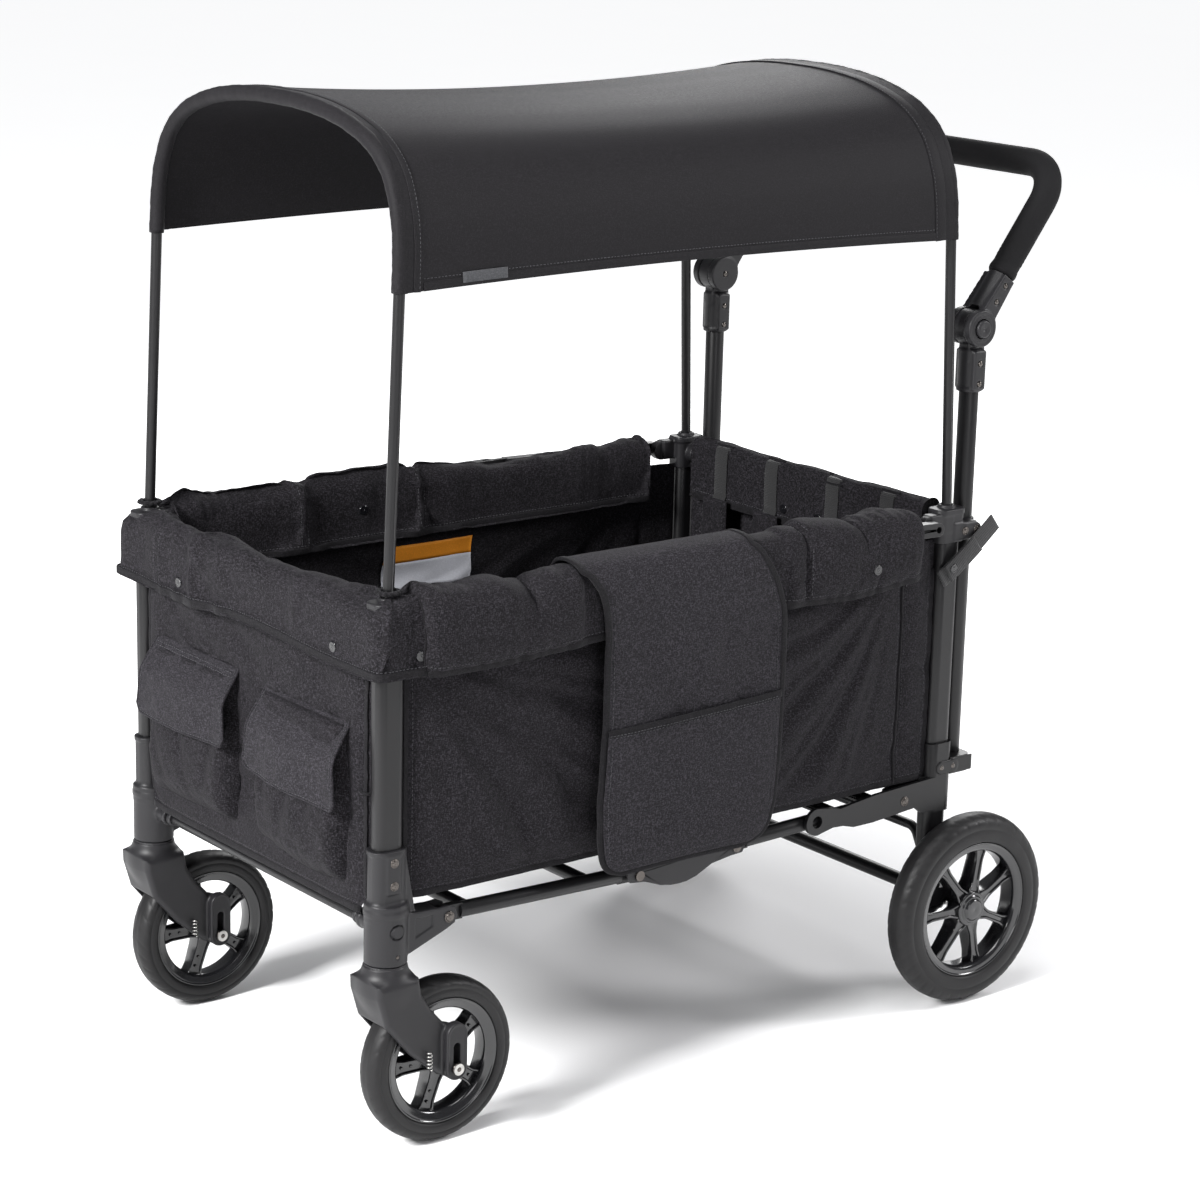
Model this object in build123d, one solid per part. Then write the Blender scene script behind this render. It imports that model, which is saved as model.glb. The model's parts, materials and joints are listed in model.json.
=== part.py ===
from build123d import *
import math
import os

# Folding wagon for small children, in millimetres.
# +Z is up, -Y is the front (the swivelling casters), +X is the left side.
# The wheels stand on z = 0 and the origin is under the middle of the wagon.
# Lengths along Y are taken from a working datum; ORIGIN_SHIFT_Y moves every
# piece on saving so that the bounding box is centred on Y.
# Paired pieces are drawn on the left and mirrored to the right.

os.makedirs("parts", exist_ok=True)

ORIGIN_SHIFT_Y = -35.67

# radial clearances
FIT = 0.02               # fixed pins and cross tubes
TUBE_FIT = 0.03          # handle tubes
RUN = 0.05               # turning parts

# posts: rounded extrusions
POST_X = 260.0
POST_W, POST_D, POST_FILLET, POST_WALL = 24.0, 36.0, 10.0, 2.0
FRONT_POST_Y, REAR_POST_Y = -467.5, 385.0
FRONT_POST_BOTTOM, REAR_POST_BOTTOM = 302.0, 150.0
POST_TOP = 650.0

# wheels and casters
FRONT_R, FRONT_W, FRONT_RIM_R = 100.0, 36.0, 77.0
REAR_R, REAR_W, REAR_RIM_R = 127.0, 40.0, 91.0
REAR_WHEEL_X = 296.0     # middle plane of a rear wheel
REAR_AXLE_Y, REAR_AXLE_Z = 420.0, REAR_R
TRAIL = 71.5             # caster axle behind the swivel axis
SWIVEL_Y = FRONT_POST_Y
FRONT_AXLE_Y, FRONT_AXLE_Z = SWIVEL_Y + TRAIL, FRONT_R
STEM_R = 7.0             # swivel stem of a caster
HOUSING_R = 25.0
HOUSING_BOTTOM = 234.0
BEAM_R = 9.5             # rear axle beam
AXLE_R = 6.0             # its thinner ends, which carry the wheels

# lower folding links: two tilted end links and a level middle link
LINK = 280.0             # run of an end link along Y
LINK_DROP = 7.0          # height difference between its ends
LINK_LEN = math.hypot(LINK, LINK_DROP)
LINK_TILT = math.degrees(math.asin(LINK_DROP / LINK_LEN))
LINK_R = 9.5
PIN_R = 4.0
# pivots and pins as (y, z)
REAR_PIVOT = (322.0, 283.0)
REAR_PIN = (REAR_PIVOT[0] - LINK, REAR_PIVOT[1] - LINK_DROP)
FRONT_PIVOT = (-390.0, 276.0)
FRONT_PIN = (FRONT_PIVOT[0] + LINK, FRONT_PIVOT[1] - LINK_DROP)

# upper folding rails, outboard of the posts
RAIL_IN, RAIL_OUT = 276.0, 290.0
RAIL_Z = 640.0
RAIL_MID_Z = RAIL_Z + LINK_DROP
RAIL_R = 9.0             # half the rail's height
REAR_RAIL_Y, FRONT_RAIL_Y = 345.0, -427.5

# cross tubes of the end frames
SEAT_Z = 430.0
REAR_SEAT_Y, FRONT_SEAT_Y = 378.0, -460.5
SEAT_TUBE_R, SEAT_TUBE_END = 7.0, 247.9
RIM_TUBE_Z, RIM_TUBE_R, RIM_TUBE_END = 636.0, 8.0, 245.8
CROSS_Z, CROSS_R, CROSS_END = 273.4, 7.5, 232.0

# handle uprights and canopy poles
UPRIGHT_X, UPRIGHT_Y, UPRIGHT_R = 250.0, 423.0, 12.5
POLE_R = 6.5


# ---------------------------------------------------------------------------
# helpers
# ---------------------------------------------------------------------------
def block(x_from, x_to, y_from, y_to, z_from, z_to):
    centre = Pos((x_from + x_to) / 2, (y_from + y_to) / 2, (z_from + z_to) / 2)
    return centre * Box(abs(x_to - x_from), abs(y_to - y_from), abs(z_to - z_from))


def rod_x(radius, x_from, x_to, y, z):
    middle = (x_from + x_to) / 2
    return Pos(middle, y, z) * Rot(0, 90, 0) * Cylinder(radius, abs(x_to - x_from))


def rod_z(radius, z_from, z_to, x, y):
    return Pos(x, y, (z_from + z_to) / 2) * Cylinder(radius, z_to - z_from)


def rod(radius, start, end):
    """A round bar between two points."""
    axis = Vector(*end) - Vector(*start)
    return extrude(Plane(origin=Vector(*start), z_dir=axis) * Circle(radius), axis.length)


def side_plate(outline, x_from, x_to):
    """A plate whose (y, z) outline runs between two X planes."""
    plane = Plane(origin=(x_from, 0, 0), x_dir=(0, 1, 0), z_dir=(1, 0, 0))
    return extrude(plane * make_face(Polyline(*outline, close=True)), x_to - x_from)


def oval(width, depth, corner, z_from, z_to, y):
    """A vertical rounded-rectangle bar on a post's axis."""
    return Pos(POST_X, y, z_from) * extrude(
        RectangleRounded(width, depth, corner), z_to - z_from)


def pipe(path, radius):
    return sweep((path ^ 0) * Circle(radius), path=path)


def mirrored(shape):
    return mirror(shape, about=Plane.YZ)


def save(name, *shapes):
    solids = []
    for shape in shapes:
        solids += [Pos(0, ORIGIN_SHIFT_Y, 0) * solid for solid in shape.solids()]
    if len(solids) == 1:
        solids[0].label = name
        export_step(solids[0], f"parts/{name}.step")
    else:
        export_step(Compound(label=name, children=solids), f"parts/{name}.step")


def save_pair(name, *shapes):
    """Left shapes and their mirror images in one file."""
    save(name, *shapes, *[mirrored(shape) for shape in shapes])


def save_sides(name, *shapes):
    """Left shapes in one file, their mirror images in another."""
    save(name + "_left", *shapes)
    save(name + "_right", *[mirrored(shape) for shape in shapes])


# ---------------------------------------------------------------------------
# posts
# ---------------------------------------------------------------------------
def post(y, bottom):
    outer = oval(POST_W, POST_D, POST_FILLET, bottom, POST_TOP, y)
    inner = oval(POST_W - 2 * POST_WALL, POST_D - 2 * POST_WALL,
                 POST_FILLET - POST_WALL, bottom - 1, POST_TOP + 1, y)
    return outer - inner


def post_hole(y, z_from, z_to):
    return oval(POST_W + 0.1, POST_D + 0.1, POST_FILLET, z_from, z_to, y)


save_pair("front_posts", post(FRONT_POST_Y, FRONT_POST_BOTTOM))
save_pair("rear_posts", post(REAR_POST_Y, REAR_POST_BOTTOM))

# ---------------------------------------------------------------------------
# front lower bracket: collar, swivel housing, gusset with pivot ears, rib
# ---------------------------------------------------------------------------
FRONT_COLLAR_W = 31
CASTER_BUTTON_R, CASTER_BUTTON_Z = 7.0, 276.0
# (y, z)
GUSSET = [(-462, 292), (-405, 289), (-390, 289), (-380, 284), (-377.5, 276),
          (-381, 266), (-392, 262), (-443, 243), (-462, 243)]
RIB = [(-462, 365), (-446, 365), (-434, 300), (-434, 285), (-462, 285)]


def front_bracket():
    body = oval(FRONT_COLLAR_W, 43, 13, 296, 370, FRONT_POST_Y)
    body += rod_z(HOUSING_R, HOUSING_BOTTOM + 0.3, 302, POST_X, SWIVEL_Y)
    body += [side_plate(GUSSET, 245, 275), side_plate(RIB, 252, 268)]
    body += rod_x(10.5, 216, 240, SWIVEL_Y, CROSS_Z)   # socket of the cross tube
    body -= block(250, 270, -403, -360, 250, 300)      # gap between the ears
    body -= post_hole(FRONT_POST_Y, FRONT_POST_BOTTOM - 0.05, 380)
    body -= rod_z(STEM_R + RUN, 230, 288, POST_X, SWIVEL_Y)
    body -= rod_x(CROSS_R + FIT, 210, CROSS_END + 0.05, SWIVEL_Y, CROSS_Z)
    body -= rod_x(PIN_R + FIT, 240, 280, *FRONT_PIVOT)
    body -= rod_x(CASTER_BUTTON_R + 0.1, 268.5, 290, SWIVEL_Y, CASTER_BUTTON_Z)
    return body


save_pair("front_brackets", front_bracket())
save_sides("caster_button",
           rod_x(CASTER_BUTTON_R, 272, 285.8, SWIVEL_Y, CASTER_BUTTON_Z))


# ---------------------------------------------------------------------------
# top brackets: cap the posts, carry the poles, rim tubes and rail pins
# ---------------------------------------------------------------------------
def rim_tube_hole(y):
    return rod_x(RIM_TUBE_R + FIT, 230, RIM_TUBE_END + 0.1, y, RIM_TUBE_Z)


def top_bracket(y, rail_y):
    body = block(246, 274, y - 21, y + 21, 616, 658)
    body = fillet(body.edges().filter_by(Axis.Z), 9)
    body += block(258, 274, y, rail_y, 628, 654)       # tongue to the rail pin
    body += rod_x(13, 262, 274, rail_y, RAIL_Z)
    body += rod_x(12, 234, 247, y, RIM_TUBE_Z)
    body -= post_hole(y, 600, POST_TOP + 0.05)
    body -= rod_z(POLE_R + RUN, 640, 670, POST_X, y)
    body -= rim_tube_hole(y)
    body -= rod_x(PIN_R + FIT, 255, 280, rail_y, RAIL_Z)
    return body


def upright_clip(z_from, z_to):
    """Block behind a rear post that grips the handle upright."""
    clip = block(236, 276, 400, 438, z_from, z_to)
    return fillet(clip.edges().filter_by(Axis.Z).sort_by(Axis.Y)[-2:], 12)


def upright_hole(z_from, z_to):
    return rod_z(UPRIGHT_R + TUBE_FIT, z_from, z_to, UPRIGHT_X, UPRIGHT_Y)


def rear_top_bracket():
    body = top_bracket(REAR_POST_Y, REAR_RAIL_Y)
    body += upright_clip(617, 640)
    # the clip fills part of the post and tube holes, so they are cut again
    body -= post_hole(REAR_POST_Y, 600, POST_TOP + 0.05)
    body -= upright_hole(600, 660)
    body -= rim_tube_hole(REAR_POST_Y)
    return body


save_pair("front_top_brackets", top_bracket(FRONT_POST_Y, FRONT_RAIL_Y))
save_pair("rear_top_brackets", rear_top_bracket())

# ---------------------------------------------------------------------------
# rear lower bracket: collar, upright clip, inner ear, long arm with an eye
# ---------------------------------------------------------------------------
ARM_IN, ARM_OUT = 270.6, 276.0
EAR_IN, EAR_OUT = 245, 249.5
EYE = (173.0, 283.0)     # (y, z)
EYE_R, EYE_HOLE_R = 17.5, 8.0
# (y, z)
ARM = [(378, 306), (272, 301), (229, 296), (212, 293.5), (196, 297),
       (178, 299.8), (176, 266), (200, 271), (217, 270), (235, 265),
       (268, 265), (341, 271), (352, 262), (378, 262)]
EAR = [(378, 298), (322, 298), (311, 293), (308, 283), (311, 273),
       (322, 268), (378, 262)]


def rear_lower_bracket():
    arm = side_plate(ARM, ARM_IN, ARM_OUT)
    arm += rod_x(EYE_R, ARM_IN, ARM_OUT, *EYE)
    arm -= rod_x(EYE_HOLE_R, 260, 290, *EYE)
    ear = side_plate(EAR, EAR_IN, EAR_OUT)
    body = oval(32, 41, 12, 258, 350, REAR_POST_Y) + arm + ear
    body += upright_clip(306, 328)
    body -= post_hole(REAR_POST_Y, 250, 360)
    body -= upright_hole(290, 340)
    body -= rod_x(PIN_R + FIT, 240, 280, *REAR_PIVOT)
    body -= block(EAR_OUT, ARM_IN, 300, 344, 255, 310)  # room for the link
    return body


save_pair("rear_lower_brackets", rear_lower_bracket())

# ---------------------------------------------------------------------------
# rear feet and axle beam
# ---------------------------------------------------------------------------
# (y, z)
FOOT = [(367, 149.9), (403, 149.9), (434, 140), (438, 127),
        (434, 113), (420, 108), (380, 112), (367, 122)]
foot = side_plate(FOOT, 248, 272)
foot += oval(19.9, 31.9, 8, 148, 178, REAR_POST_Y)     # plug inside the post
foot -= rod_x(BEAM_R + FIT, 240, 280, REAR_AXLE_Y, REAR_AXLE_Z)
save_pair("rear_feet", foot)

beam = rod_x(BEAM_R, -272, 272, REAR_AXLE_Y, REAR_AXLE_Z)
beam += rod_x(AXLE_R, -308, 308, REAR_AXLE_Y, REAR_AXLE_Z)
save("rear_axle_beam", beam)


# ---------------------------------------------------------------------------
# cross tubes of the two end frames
# ---------------------------------------------------------------------------
def end_tubes(post_y, seat_y):
    return [rod_x(RIM_TUBE_R, -RIM_TUBE_END, RIM_TUBE_END, post_y, RIM_TUBE_Z),
            rod_x(SEAT_TUBE_R, -SEAT_TUBE_END, SEAT_TUBE_END, seat_y, SEAT_Z)]


save("rear_cross_tubes", *end_tubes(REAR_POST_Y, REAR_SEAT_Y))
save("front_cross_tubes", *end_tubes(FRONT_POST_Y, FRONT_SEAT_Y),
     rod_x(CROSS_R, -CROSS_END, CROSS_END, SWIVEL_Y, CROSS_Z))

# ---------------------------------------------------------------------------
# lower folding links; an end link is drawn with its pivot at the origin,
# running along -Y, then tilted and placed
# ---------------------------------------------------------------------------
LINK_IN, LINK_OUT = POST_X - 5, POST_X + 5


def link_side():
    """One round side tube with flat ends."""
    tube = rod_x(LINK_R, LINK_IN, LINK_OUT, 0, 0)
    tube += rod_x(LINK_R, LINK_IN, LINK_OUT, -LINK_LEN, 0)
    tube += block(LINK_IN, LINK_OUT, -26, 0, -LINK_R, LINK_R)
    tube += block(LINK_IN, LINK_OUT, -LINK_LEN, -LINK_LEN + 26, -LINK_R, LINK_R)
    tube += rod(LINK_R, (POST_X, -22, 0), (POST_X, -LINK_LEN + 22, 0))
    for y in (0, -LINK_LEN):
        tube -= rod_x(PIN_R + RUN, 250, 270, y, 0)
    return tube


def link_cross_tube(y):
    return rod_x(8.0, -252, 252, y, 0)


def slat(y):
    """A ribbed flat slat laid over the side tubes."""
    body = block(-257, 257, y - 14, y + 14, 6.5, 9.5)
    for rib_y in (y - 10, y, y + 10):
        body += block(-249, 249, rib_y - 1.5, rib_y + 1.5, 9.4, 11)
    return body


side = link_side()
rear_link = side + mirrored(side) + slat(-49) + slat(-118) + link_cross_tube(-228)
save("rear_floor_tubes", Pos(0, *REAR_PIVOT) * Rot(LINK_TILT, 0, 0) * rear_link)
front_link = side + mirrored(side) + link_cross_tube(-36) + link_cross_tube(-212)
save("front_floor_tubes", Pos(0, *FRONT_PIVOT) * Rot(-LINK_TILT, 0, 0)
     * mirror(front_link, about=Plane.XZ))

# middle link: two cheek plates about a spacer on each side; outlines in (y, z)
CHEEK_IN, CHEEK_OUT, CHEEK_T = 246, 274, 4
CHEEK = [(54, 287), (-122, 280), (-128, 273), (-124, 262), (-100, 259),
         (-76, 250), (-60, 247), (-48, 246.3), (-36, 247), (-20, 251),
         (4, 262), (34, 266), (52, 267), (57, 276)]
SPACER = [(14, 284), (-82, 281), (-82, 258), (-60, 249), (-36, 249), (14, 266)]
plate = side_plate(CHEEK, CHEEK_IN, CHEEK_IN + CHEEK_T)
plate += side_plate(CHEEK, CHEEK_OUT - CHEEK_T, CHEEK_OUT)
plate += side_plate(SPACER, 249, 271)
for pin_place in (REAR_PIN, FRONT_PIN):
    plate -= rod_x(PIN_R + FIT, 240, 280, *pin_place)
save("centre_floor_link", plate + mirrored(plate) + rod_x(8, -247, 247, -34, 268))

# ---------------------------------------------------------------------------
# floor boards
# ---------------------------------------------------------------------------
BOARD_HALF_W = 228.0
BOARD_Z, BOARD_T = 297.0, 8.0
# name, front edge y, rear edge y
BOARDS = [("rear", 46, 318), ("centre", -108, 40), ("front", -386, -114)]
for name, front_y, rear_y in BOARDS:
    save(f"{name}_floor_board", block(-BOARD_HALF_W, BOARD_HALF_W, front_y, rear_y,
                                      BOARD_Z, BOARD_Z + BOARD_T))

# ---------------------------------------------------------------------------
# upper folding rails
# ---------------------------------------------------------------------------
TONGUE_IN, TONGUE_OUT = 280, 286


def end_rail(pivot_clearance):
    """One end rail, pivot at the origin, running along -Y to a tongue."""
    bar = block(RAIL_IN, RAIL_OUT, -LINK_LEN + 24, 0, -RAIL_R, RAIL_R)
    bar += rod_x(RAIL_R, RAIL_IN, RAIL_OUT, 0, 0)
    bar += block(TONGUE_IN, TONGUE_OUT, -LINK_LEN, -LINK_LEN + 25, -RAIL_R, RAIL_R)
    bar += rod_x(RAIL_R, TONGUE_IN, TONGUE_OUT, -LINK_LEN, 0)
    bar -= rod_x(PIN_R + pivot_clearance, 270, 295, 0, 0)
    bar -= rod_x(PIN_R + RUN, 270, 295, -LINK_LEN, 0)
    return bar


def centre_rail():
    """Level middle rail, slotted for the tongues, with its two pins."""
    joints = (FRONT_RAIL_Y + LINK, REAR_RAIL_Y - LINK)
    bar = block(RAIL_IN, RAIL_OUT, *joints, RAIL_MID_Z - RAIL_R, RAIL_MID_Z + RAIL_R)
    for y in joints:
        bar += rod_x(RAIL_R, RAIL_IN, RAIL_OUT, y, RAIL_MID_Z)
    for y in joints:
        bar -= block(TONGUE_IN - 0.2, TONGUE_OUT + 0.2, y - 12, y + 12, 600, 700)
    for y in joints:
        bar += rod_x(PIN_R, RAIL_IN, RAIL_OUT + 1.5, y, RAIL_MID_Z)
    return bar


save_pair("rear_top_rails",
          Pos(0, REAR_RAIL_Y, RAIL_Z) * Rot(-LINK_TILT, 0, 0) * end_rail(RUN))
save_pair("front_top_rails", Pos(0, FRONT_RAIL_Y, RAIL_Z) * Rot(LINK_TILT, 0, 0)
          * mirror(end_rail(0.25), about=Plane.XZ))
save_pair("centre_top_rails", centre_rail())

# ---------------------------------------------------------------------------
# pivot pins and rivet heads
# ---------------------------------------------------------------------------
PIN_HEAD_R, PIN_HEAD_H = 6.5, 2.5
RIVET_R, RIVET_H = 5, 2


def pivot_pin(x_from, x_to, y, z):
    """A pin with a head beyond each face of what it joins."""
    inner_end, outer_end = x_from - PIN_HEAD_H, x_to + PIN_HEAD_H
    body = rod_x(PIN_R, inner_end, outer_end, y, z)
    body += rod_x(PIN_HEAD_R, x_to + 0.02, outer_end, y, z)
    body += rod_x(PIN_HEAD_R, inner_end, x_from - 0.02, y, z)
    return body


def rail_pin(y):
    outer_end = RAIL_OUT + 3
    return (rod_x(PIN_R, 262.5, outer_end, y, RAIL_Z)
            + rod_x(PIN_HEAD_R, RAIL_OUT + 0.3, outer_end, y, RAIL_Z))


def rivet_head(x, y, z):
    """A low domed head standing on an outboard face at x."""
    body = rod_x(RIVET_R, x, x + RIVET_H, y, z)
    return fillet(body.edges().group_by(Axis.X)[-1], RIVET_H * 0.6)


save_pair("centre_pivot_pins", pivot_pin(CHEEK_IN, CHEEK_OUT, *REAR_PIN),
          pivot_pin(CHEEK_IN, CHEEK_OUT, *FRONT_PIN))
save_pair("rear_frame_rivets",
          pivot_pin(EAR_IN, ARM_OUT, *REAR_PIVOT), rail_pin(REAR_RAIL_Y),
          rivet_head(276, 384, 317), rivet_head(276, 404, 317),
          rivet_head(276, 404, 629), rivet_head(276, 424, 629))
FRONT_COLLAR_OUT = POST_X + FRONT_COLLAR_W / 2
save_pair("front_frame_rivets",
          pivot_pin(245, 275, *FRONT_PIVOT), rail_pin(FRONT_RAIL_Y),
          rivet_head(FRONT_COLLAR_OUT, FRONT_POST_Y, 356.5),
          rivet_head(FRONT_COLLAR_OUT, FRONT_POST_Y, 329))

# ---------------------------------------------------------------------------
# casters: fork, sprung axle and springs; X distances are from POST_X
# ---------------------------------------------------------------------------
SUSPENSION = 8.0         # travel of the axle
FORK_IN, FORK_OUT = 23.0, 33.0
FORK_TOP = HOUSING_BOTTOM - 0.2
PILL_OUT, PILL_R, PILL_RISE = 44.0, 14.5, 41    # upright pads on the fork legs
SLOT_R, SLOT_RISE = 4.15, 27
FORK_AXLE_R, AXLE_HEAD_R, AXLE_HEAD_OUT = 4.0, 7.0, 47.5
SPRING_OFFSET, SPRING_R, WIRE_R = 38.5, 3.1, 0.7
# (y, z)
FORK = [(-492.5, FORK_TOP), (-496.5, 216), (-495, 196), (-484, 162),
        (-449, 121), (-412, 91), (-402, 86), (-390, 86), (-381, 94),
        (-381, 138), (-388, 150), (-404, 153), (-424, 174), (-445, 212),
        (-442.5, FORK_TOP)]


def caster_fork():
    leg_faces = (POST_X - FORK_IN, POST_X + FORK_IN)
    body = side_plate(FORK, POST_X - FORK_OUT, POST_X + FORK_OUT)
    crown = rod_z(HOUSING_R, 180, FORK_TOP, POST_X, SWIVEL_Y)
    upper = block(200, 320, -520, -350, 196, 240)
    # the upper part is rounded about the swivel axis
    body = (body - upper) + (body & upper & rod_z(33, 190, 240, POST_X, SWIVEL_Y)) + crown
    # room for the wheel at both ends of its travel
    for lift in (0.0, SUSPENSION):
        body -= rod_x(FRONT_R + 4, *leg_faces, FRONT_AXLE_Y, FRONT_AXLE_Z + lift)
    body -= block(*leg_faces, -480, -360, 60, 150)
    pill_top = FRONT_AXLE_Z + PILL_RISE
    for sign in (-1, 1):
        faces = (POST_X + sign * (FORK_OUT - 1), POST_X + sign * PILL_OUT)
        body += block(*faces, FRONT_AXLE_Y - PILL_R, FRONT_AXLE_Y + PILL_R,
                      FRONT_AXLE_Z, pill_top)
        body += rod_x(PILL_R, *faces, FRONT_AXLE_Y, FRONT_AXLE_Z)
        body += rod_x(PILL_R, *faces, FRONT_AXLE_Y, pill_top)
    slot_top = FRONT_AXLE_Z + SLOT_RISE
    body -= rod_x(SLOT_R, 200, 320, FRONT_AXLE_Y, FRONT_AXLE_Z)
    body -= rod_x(SLOT_R, 200, 320, FRONT_AXLE_Y, slot_top)
    body -= block(200, 320, FRONT_AXLE_Y - SLOT_R, FRONT_AXLE_Y + SLOT_R,
                  FRONT_AXLE_Z, slot_top)
    body += rod_z(STEM_R, 232, 286, POST_X, SWIVEL_Y)
    return body


def front_axle():
    place = (FRONT_AXLE_Y, FRONT_AXLE_Z)
    body = rod_x(FORK_AXLE_R, POST_X - 47, POST_X + 47, *place)
    for sign in (1, -1):
        body += rod_x(AXLE_HEAD_R, POST_X + sign * (PILL_OUT + 0.3),
                      POST_X + sign * AXLE_HEAD_OUT, *place)
    return body


save_sides("caster_fork", caster_fork())
save_sides("front_axle", front_axle())
coil = pipe(Helix(pitch=4.4, height=22.0, radius=SPRING_R), WIRE_R)
save_sides("front_springs", *[
    Pos(POST_X + offset, FRONT_AXLE_Y, FRONT_AXLE_Z + 5.0) * coil
    for offset in (-SPRING_OFFSET, SPRING_OFFSET)])

# ---------------------------------------------------------------------------
# wheels, built about the origin with the axle along X
# ---------------------------------------------------------------------------
RIM_BAND = 13.0          # radial depth of the rim's outer band


def tyre(inner, outer, width):
    half = width / 2
    shoulder = outer - 0.36 * (outer - inner)
    profile = (Line((-half + 2, inner), (half - 2, inner))
               + Line((half - 2, inner), (half, inner + 4))
               + Line((half, inner + 4), (half, shoulder))
               + ThreePointArc((half, shoulder), (0, outer), (-half, shoulder))
               + Line((-half, shoulder), (-half, inner + 4))
               + Line((-half, inner + 4), (-half + 2, inner)))
    return revolve(Plane.XZ * make_face(profile), Axis.X, 360)


def rim(radius, width, hub_r, hub_w, bore, spokes, spoke_w, spoke_t, cap=0.0):
    """Band, hub and ribbed spokes; a cap closes the outboard end of the bore."""
    half = width / 2
    edge = radius - RIM_BAND * 0.45
    band_in = radius - RIM_BAND
    section = Polyline((-half, radius - 0.05), (half, radius - 0.05), (half, edge),
                       (half - 4, band_in), (-half + 4, band_in), (-half, edge),
                       close=True)
    body = revolve(Plane.XZ * make_face(section), Axis.X, 360)
    body += rod_x(hub_r, -hub_w / 2, hub_w / 2, 0, 0)
    for i in range(spokes):
        reach = (hub_r - 4, band_in + 2)
        spoke = block(-spoke_t / 2, spoke_t / 2, -spoke_w / 2, spoke_w / 2, *reach)
        spoke += block(spoke_t / 2 - 1, spoke_t / 2 + 2, -2, 2, *reach)
        body += Rot(360 / spokes * i + 90, 0, 0) * spoke
    if cap:
        body += rod_x(14, hub_w / 2 - 1, hub_w / 2 + cap, 0, 0)
        body -= rod_x(bore, -hub_w, hub_w / 2 - 2, 0, 0)
    else:
        body -= rod_x(bore, -hub_w, hub_w, 0, 0)
    return body


at_front = Pos(POST_X, FRONT_AXLE_Y, FRONT_AXLE_Z)
at_rear = Pos(REAR_WHEEL_X, REAR_AXLE_Y, REAR_AXLE_Z)
save_sides("front_rim", at_front * rim(
    FRONT_RIM_R, width=30.0, hub_r=16.0, hub_w=42.0, bore=FORK_AXLE_R + RUN,
    spokes=5, spoke_w=20.0, spoke_t=14.0))
save_sides("front_tyre", at_front * tyre(FRONT_RIM_R, FRONT_R, FRONT_W))
save_sides("rear_rim", at_rear * rim(
    REAR_RIM_R, width=34.0, hub_r=23.0, hub_w=34.0, bore=AXLE_R + RUN,
    spokes=7, spoke_w=17.0, spoke_t=16.0, cap=3.0))
save_sides("rear_tyre", at_rear * tyre(REAR_RIM_R, REAR_R, REAR_W))

# ---------------------------------------------------------------------------
# foot brake bar: bent tube that turns on the axle beam
# ---------------------------------------------------------------------------
brake_path = FilletPolyline((-234, 426, 134), (-216, 429, 150), (-178, 438, 200),
                            (178, 438, 200), (216, 429, 150), (234, 426, 134),
                            radius=22)
brake = pipe(brake_path, 6.5)
for sign in (-1, 1):
    brake += rod_x(14, sign * 224, sign * 244, REAR_AXLE_Y, REAR_AXLE_Z)
brake -= rod_x(BEAM_R + RUN, -260, 260, REAR_AXLE_Y, REAR_AXLE_Z)
save("brake_bar", brake)

# ---------------------------------------------------------------------------
# handle: uprights, fixed bases, turning hubs, buttons, bar and grip
# ---------------------------------------------------------------------------
UPRIGHT_WALL, UPRIGHT_TOP = 1.8, 852
HUB_Y, HUB_Z, HUB_R = 421.0, 885.0, 23.0
BLADE_IN, BLADE_OUT = 240.5, 259.5              # base blade between the hub cheeks
CHEEK_FACE_IN, CHEEK_FACE_OUT = BLADE_IN - 1, BLADE_OUT + 1
HUB_SPIGOT_R = 6
SOCKET_START, HANDLE_START, GRIP_START = 30, 30, 77   # reaches from the hub centre
HANDLE_ANGLE = 52.7      # above the horizontal, leaning to the rear
HANDLE_REACH = 241.5     # hub centre to the cross bar's centreline
HANDLE_R, GRIP_R, HANDLE_BEND = 11.0, 18.0, 55.0
HANDLE_COS = math.cos(math.radians(HANDLE_ANGLE))
HANDLE_SIN = math.sin(math.radians(HANDLE_ANGLE))
HANDLE_PLANE = Plane(origin=(0, HUB_Y, HUB_Z), x_dir=(1, 0, 0),
                     z_dir=(0, -HANDLE_SIN, HANDLE_COS))
# web that joins the hub cheeks, as (x, reach) in the handle's plane
WEB = [(231, 8), (CHEEK_FACE_IN, 8), (CHEEK_FACE_IN, 24.5), (CHEEK_FACE_OUT, 24.5),
       (CHEEK_FACE_OUT, 8), (269, 8), (266, 72), (234, 72)]
WEB_T = 26


def handle_base():
    body = rod_z(15.5, 804, 858, UPRIGHT_X, UPRIGHT_Y)
    body += block(UPRIGHT_X + 8, UPRIGHT_X + 17, 414, 434, 806, 856)
    body += rod_x(HUB_R - 0.5, BLADE_IN, BLADE_OUT, HUB_Y, HUB_Z)
    body += block(BLADE_IN, BLADE_OUT, HUB_Y - 14, HUB_Y + 15, 850, HUB_Z)
    body += rod_x(HUB_SPIGOT_R, 229, 245, HUB_Y, HUB_Z)
    body -= upright_hole(790, UPRIGHT_TOP + 0.05)
    return body


def along_handle(radius, *reaches):
    """A round bar on the handle's side line, between two reaches."""
    return rod(radius, *[(UPRIGHT_X, HUB_Y + reach * HANDLE_COS,
                          HUB_Z + reach * HANDLE_SIN) for reach in reaches])


def handle_hub():
    body = rod_x(HUB_R, 228, CHEEK_FACE_IN, HUB_Y, HUB_Z)
    body += rod_x(HUB_R, CHEEK_FACE_OUT, 272, HUB_Y, HUB_Z)
    body += HANDLE_PLANE * Pos(0, 0, -WEB_T / 2) * extrude(
        make_face(Polyline(*WEB, close=True)), WEB_T)
    body += along_handle(15.5, SOCKET_START, 75)
    body -= along_handle(HANDLE_R + TUBE_FIT, SOCKET_START - 0.05, 90)
    body -= rod_x(HUB_SPIGOT_R + RUN, 220, 240, HUB_Y, HUB_Z)
    body -= rod_x(11.7, 260, 280, HUB_Y, HUB_Z)        # button recess
    return body


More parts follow.
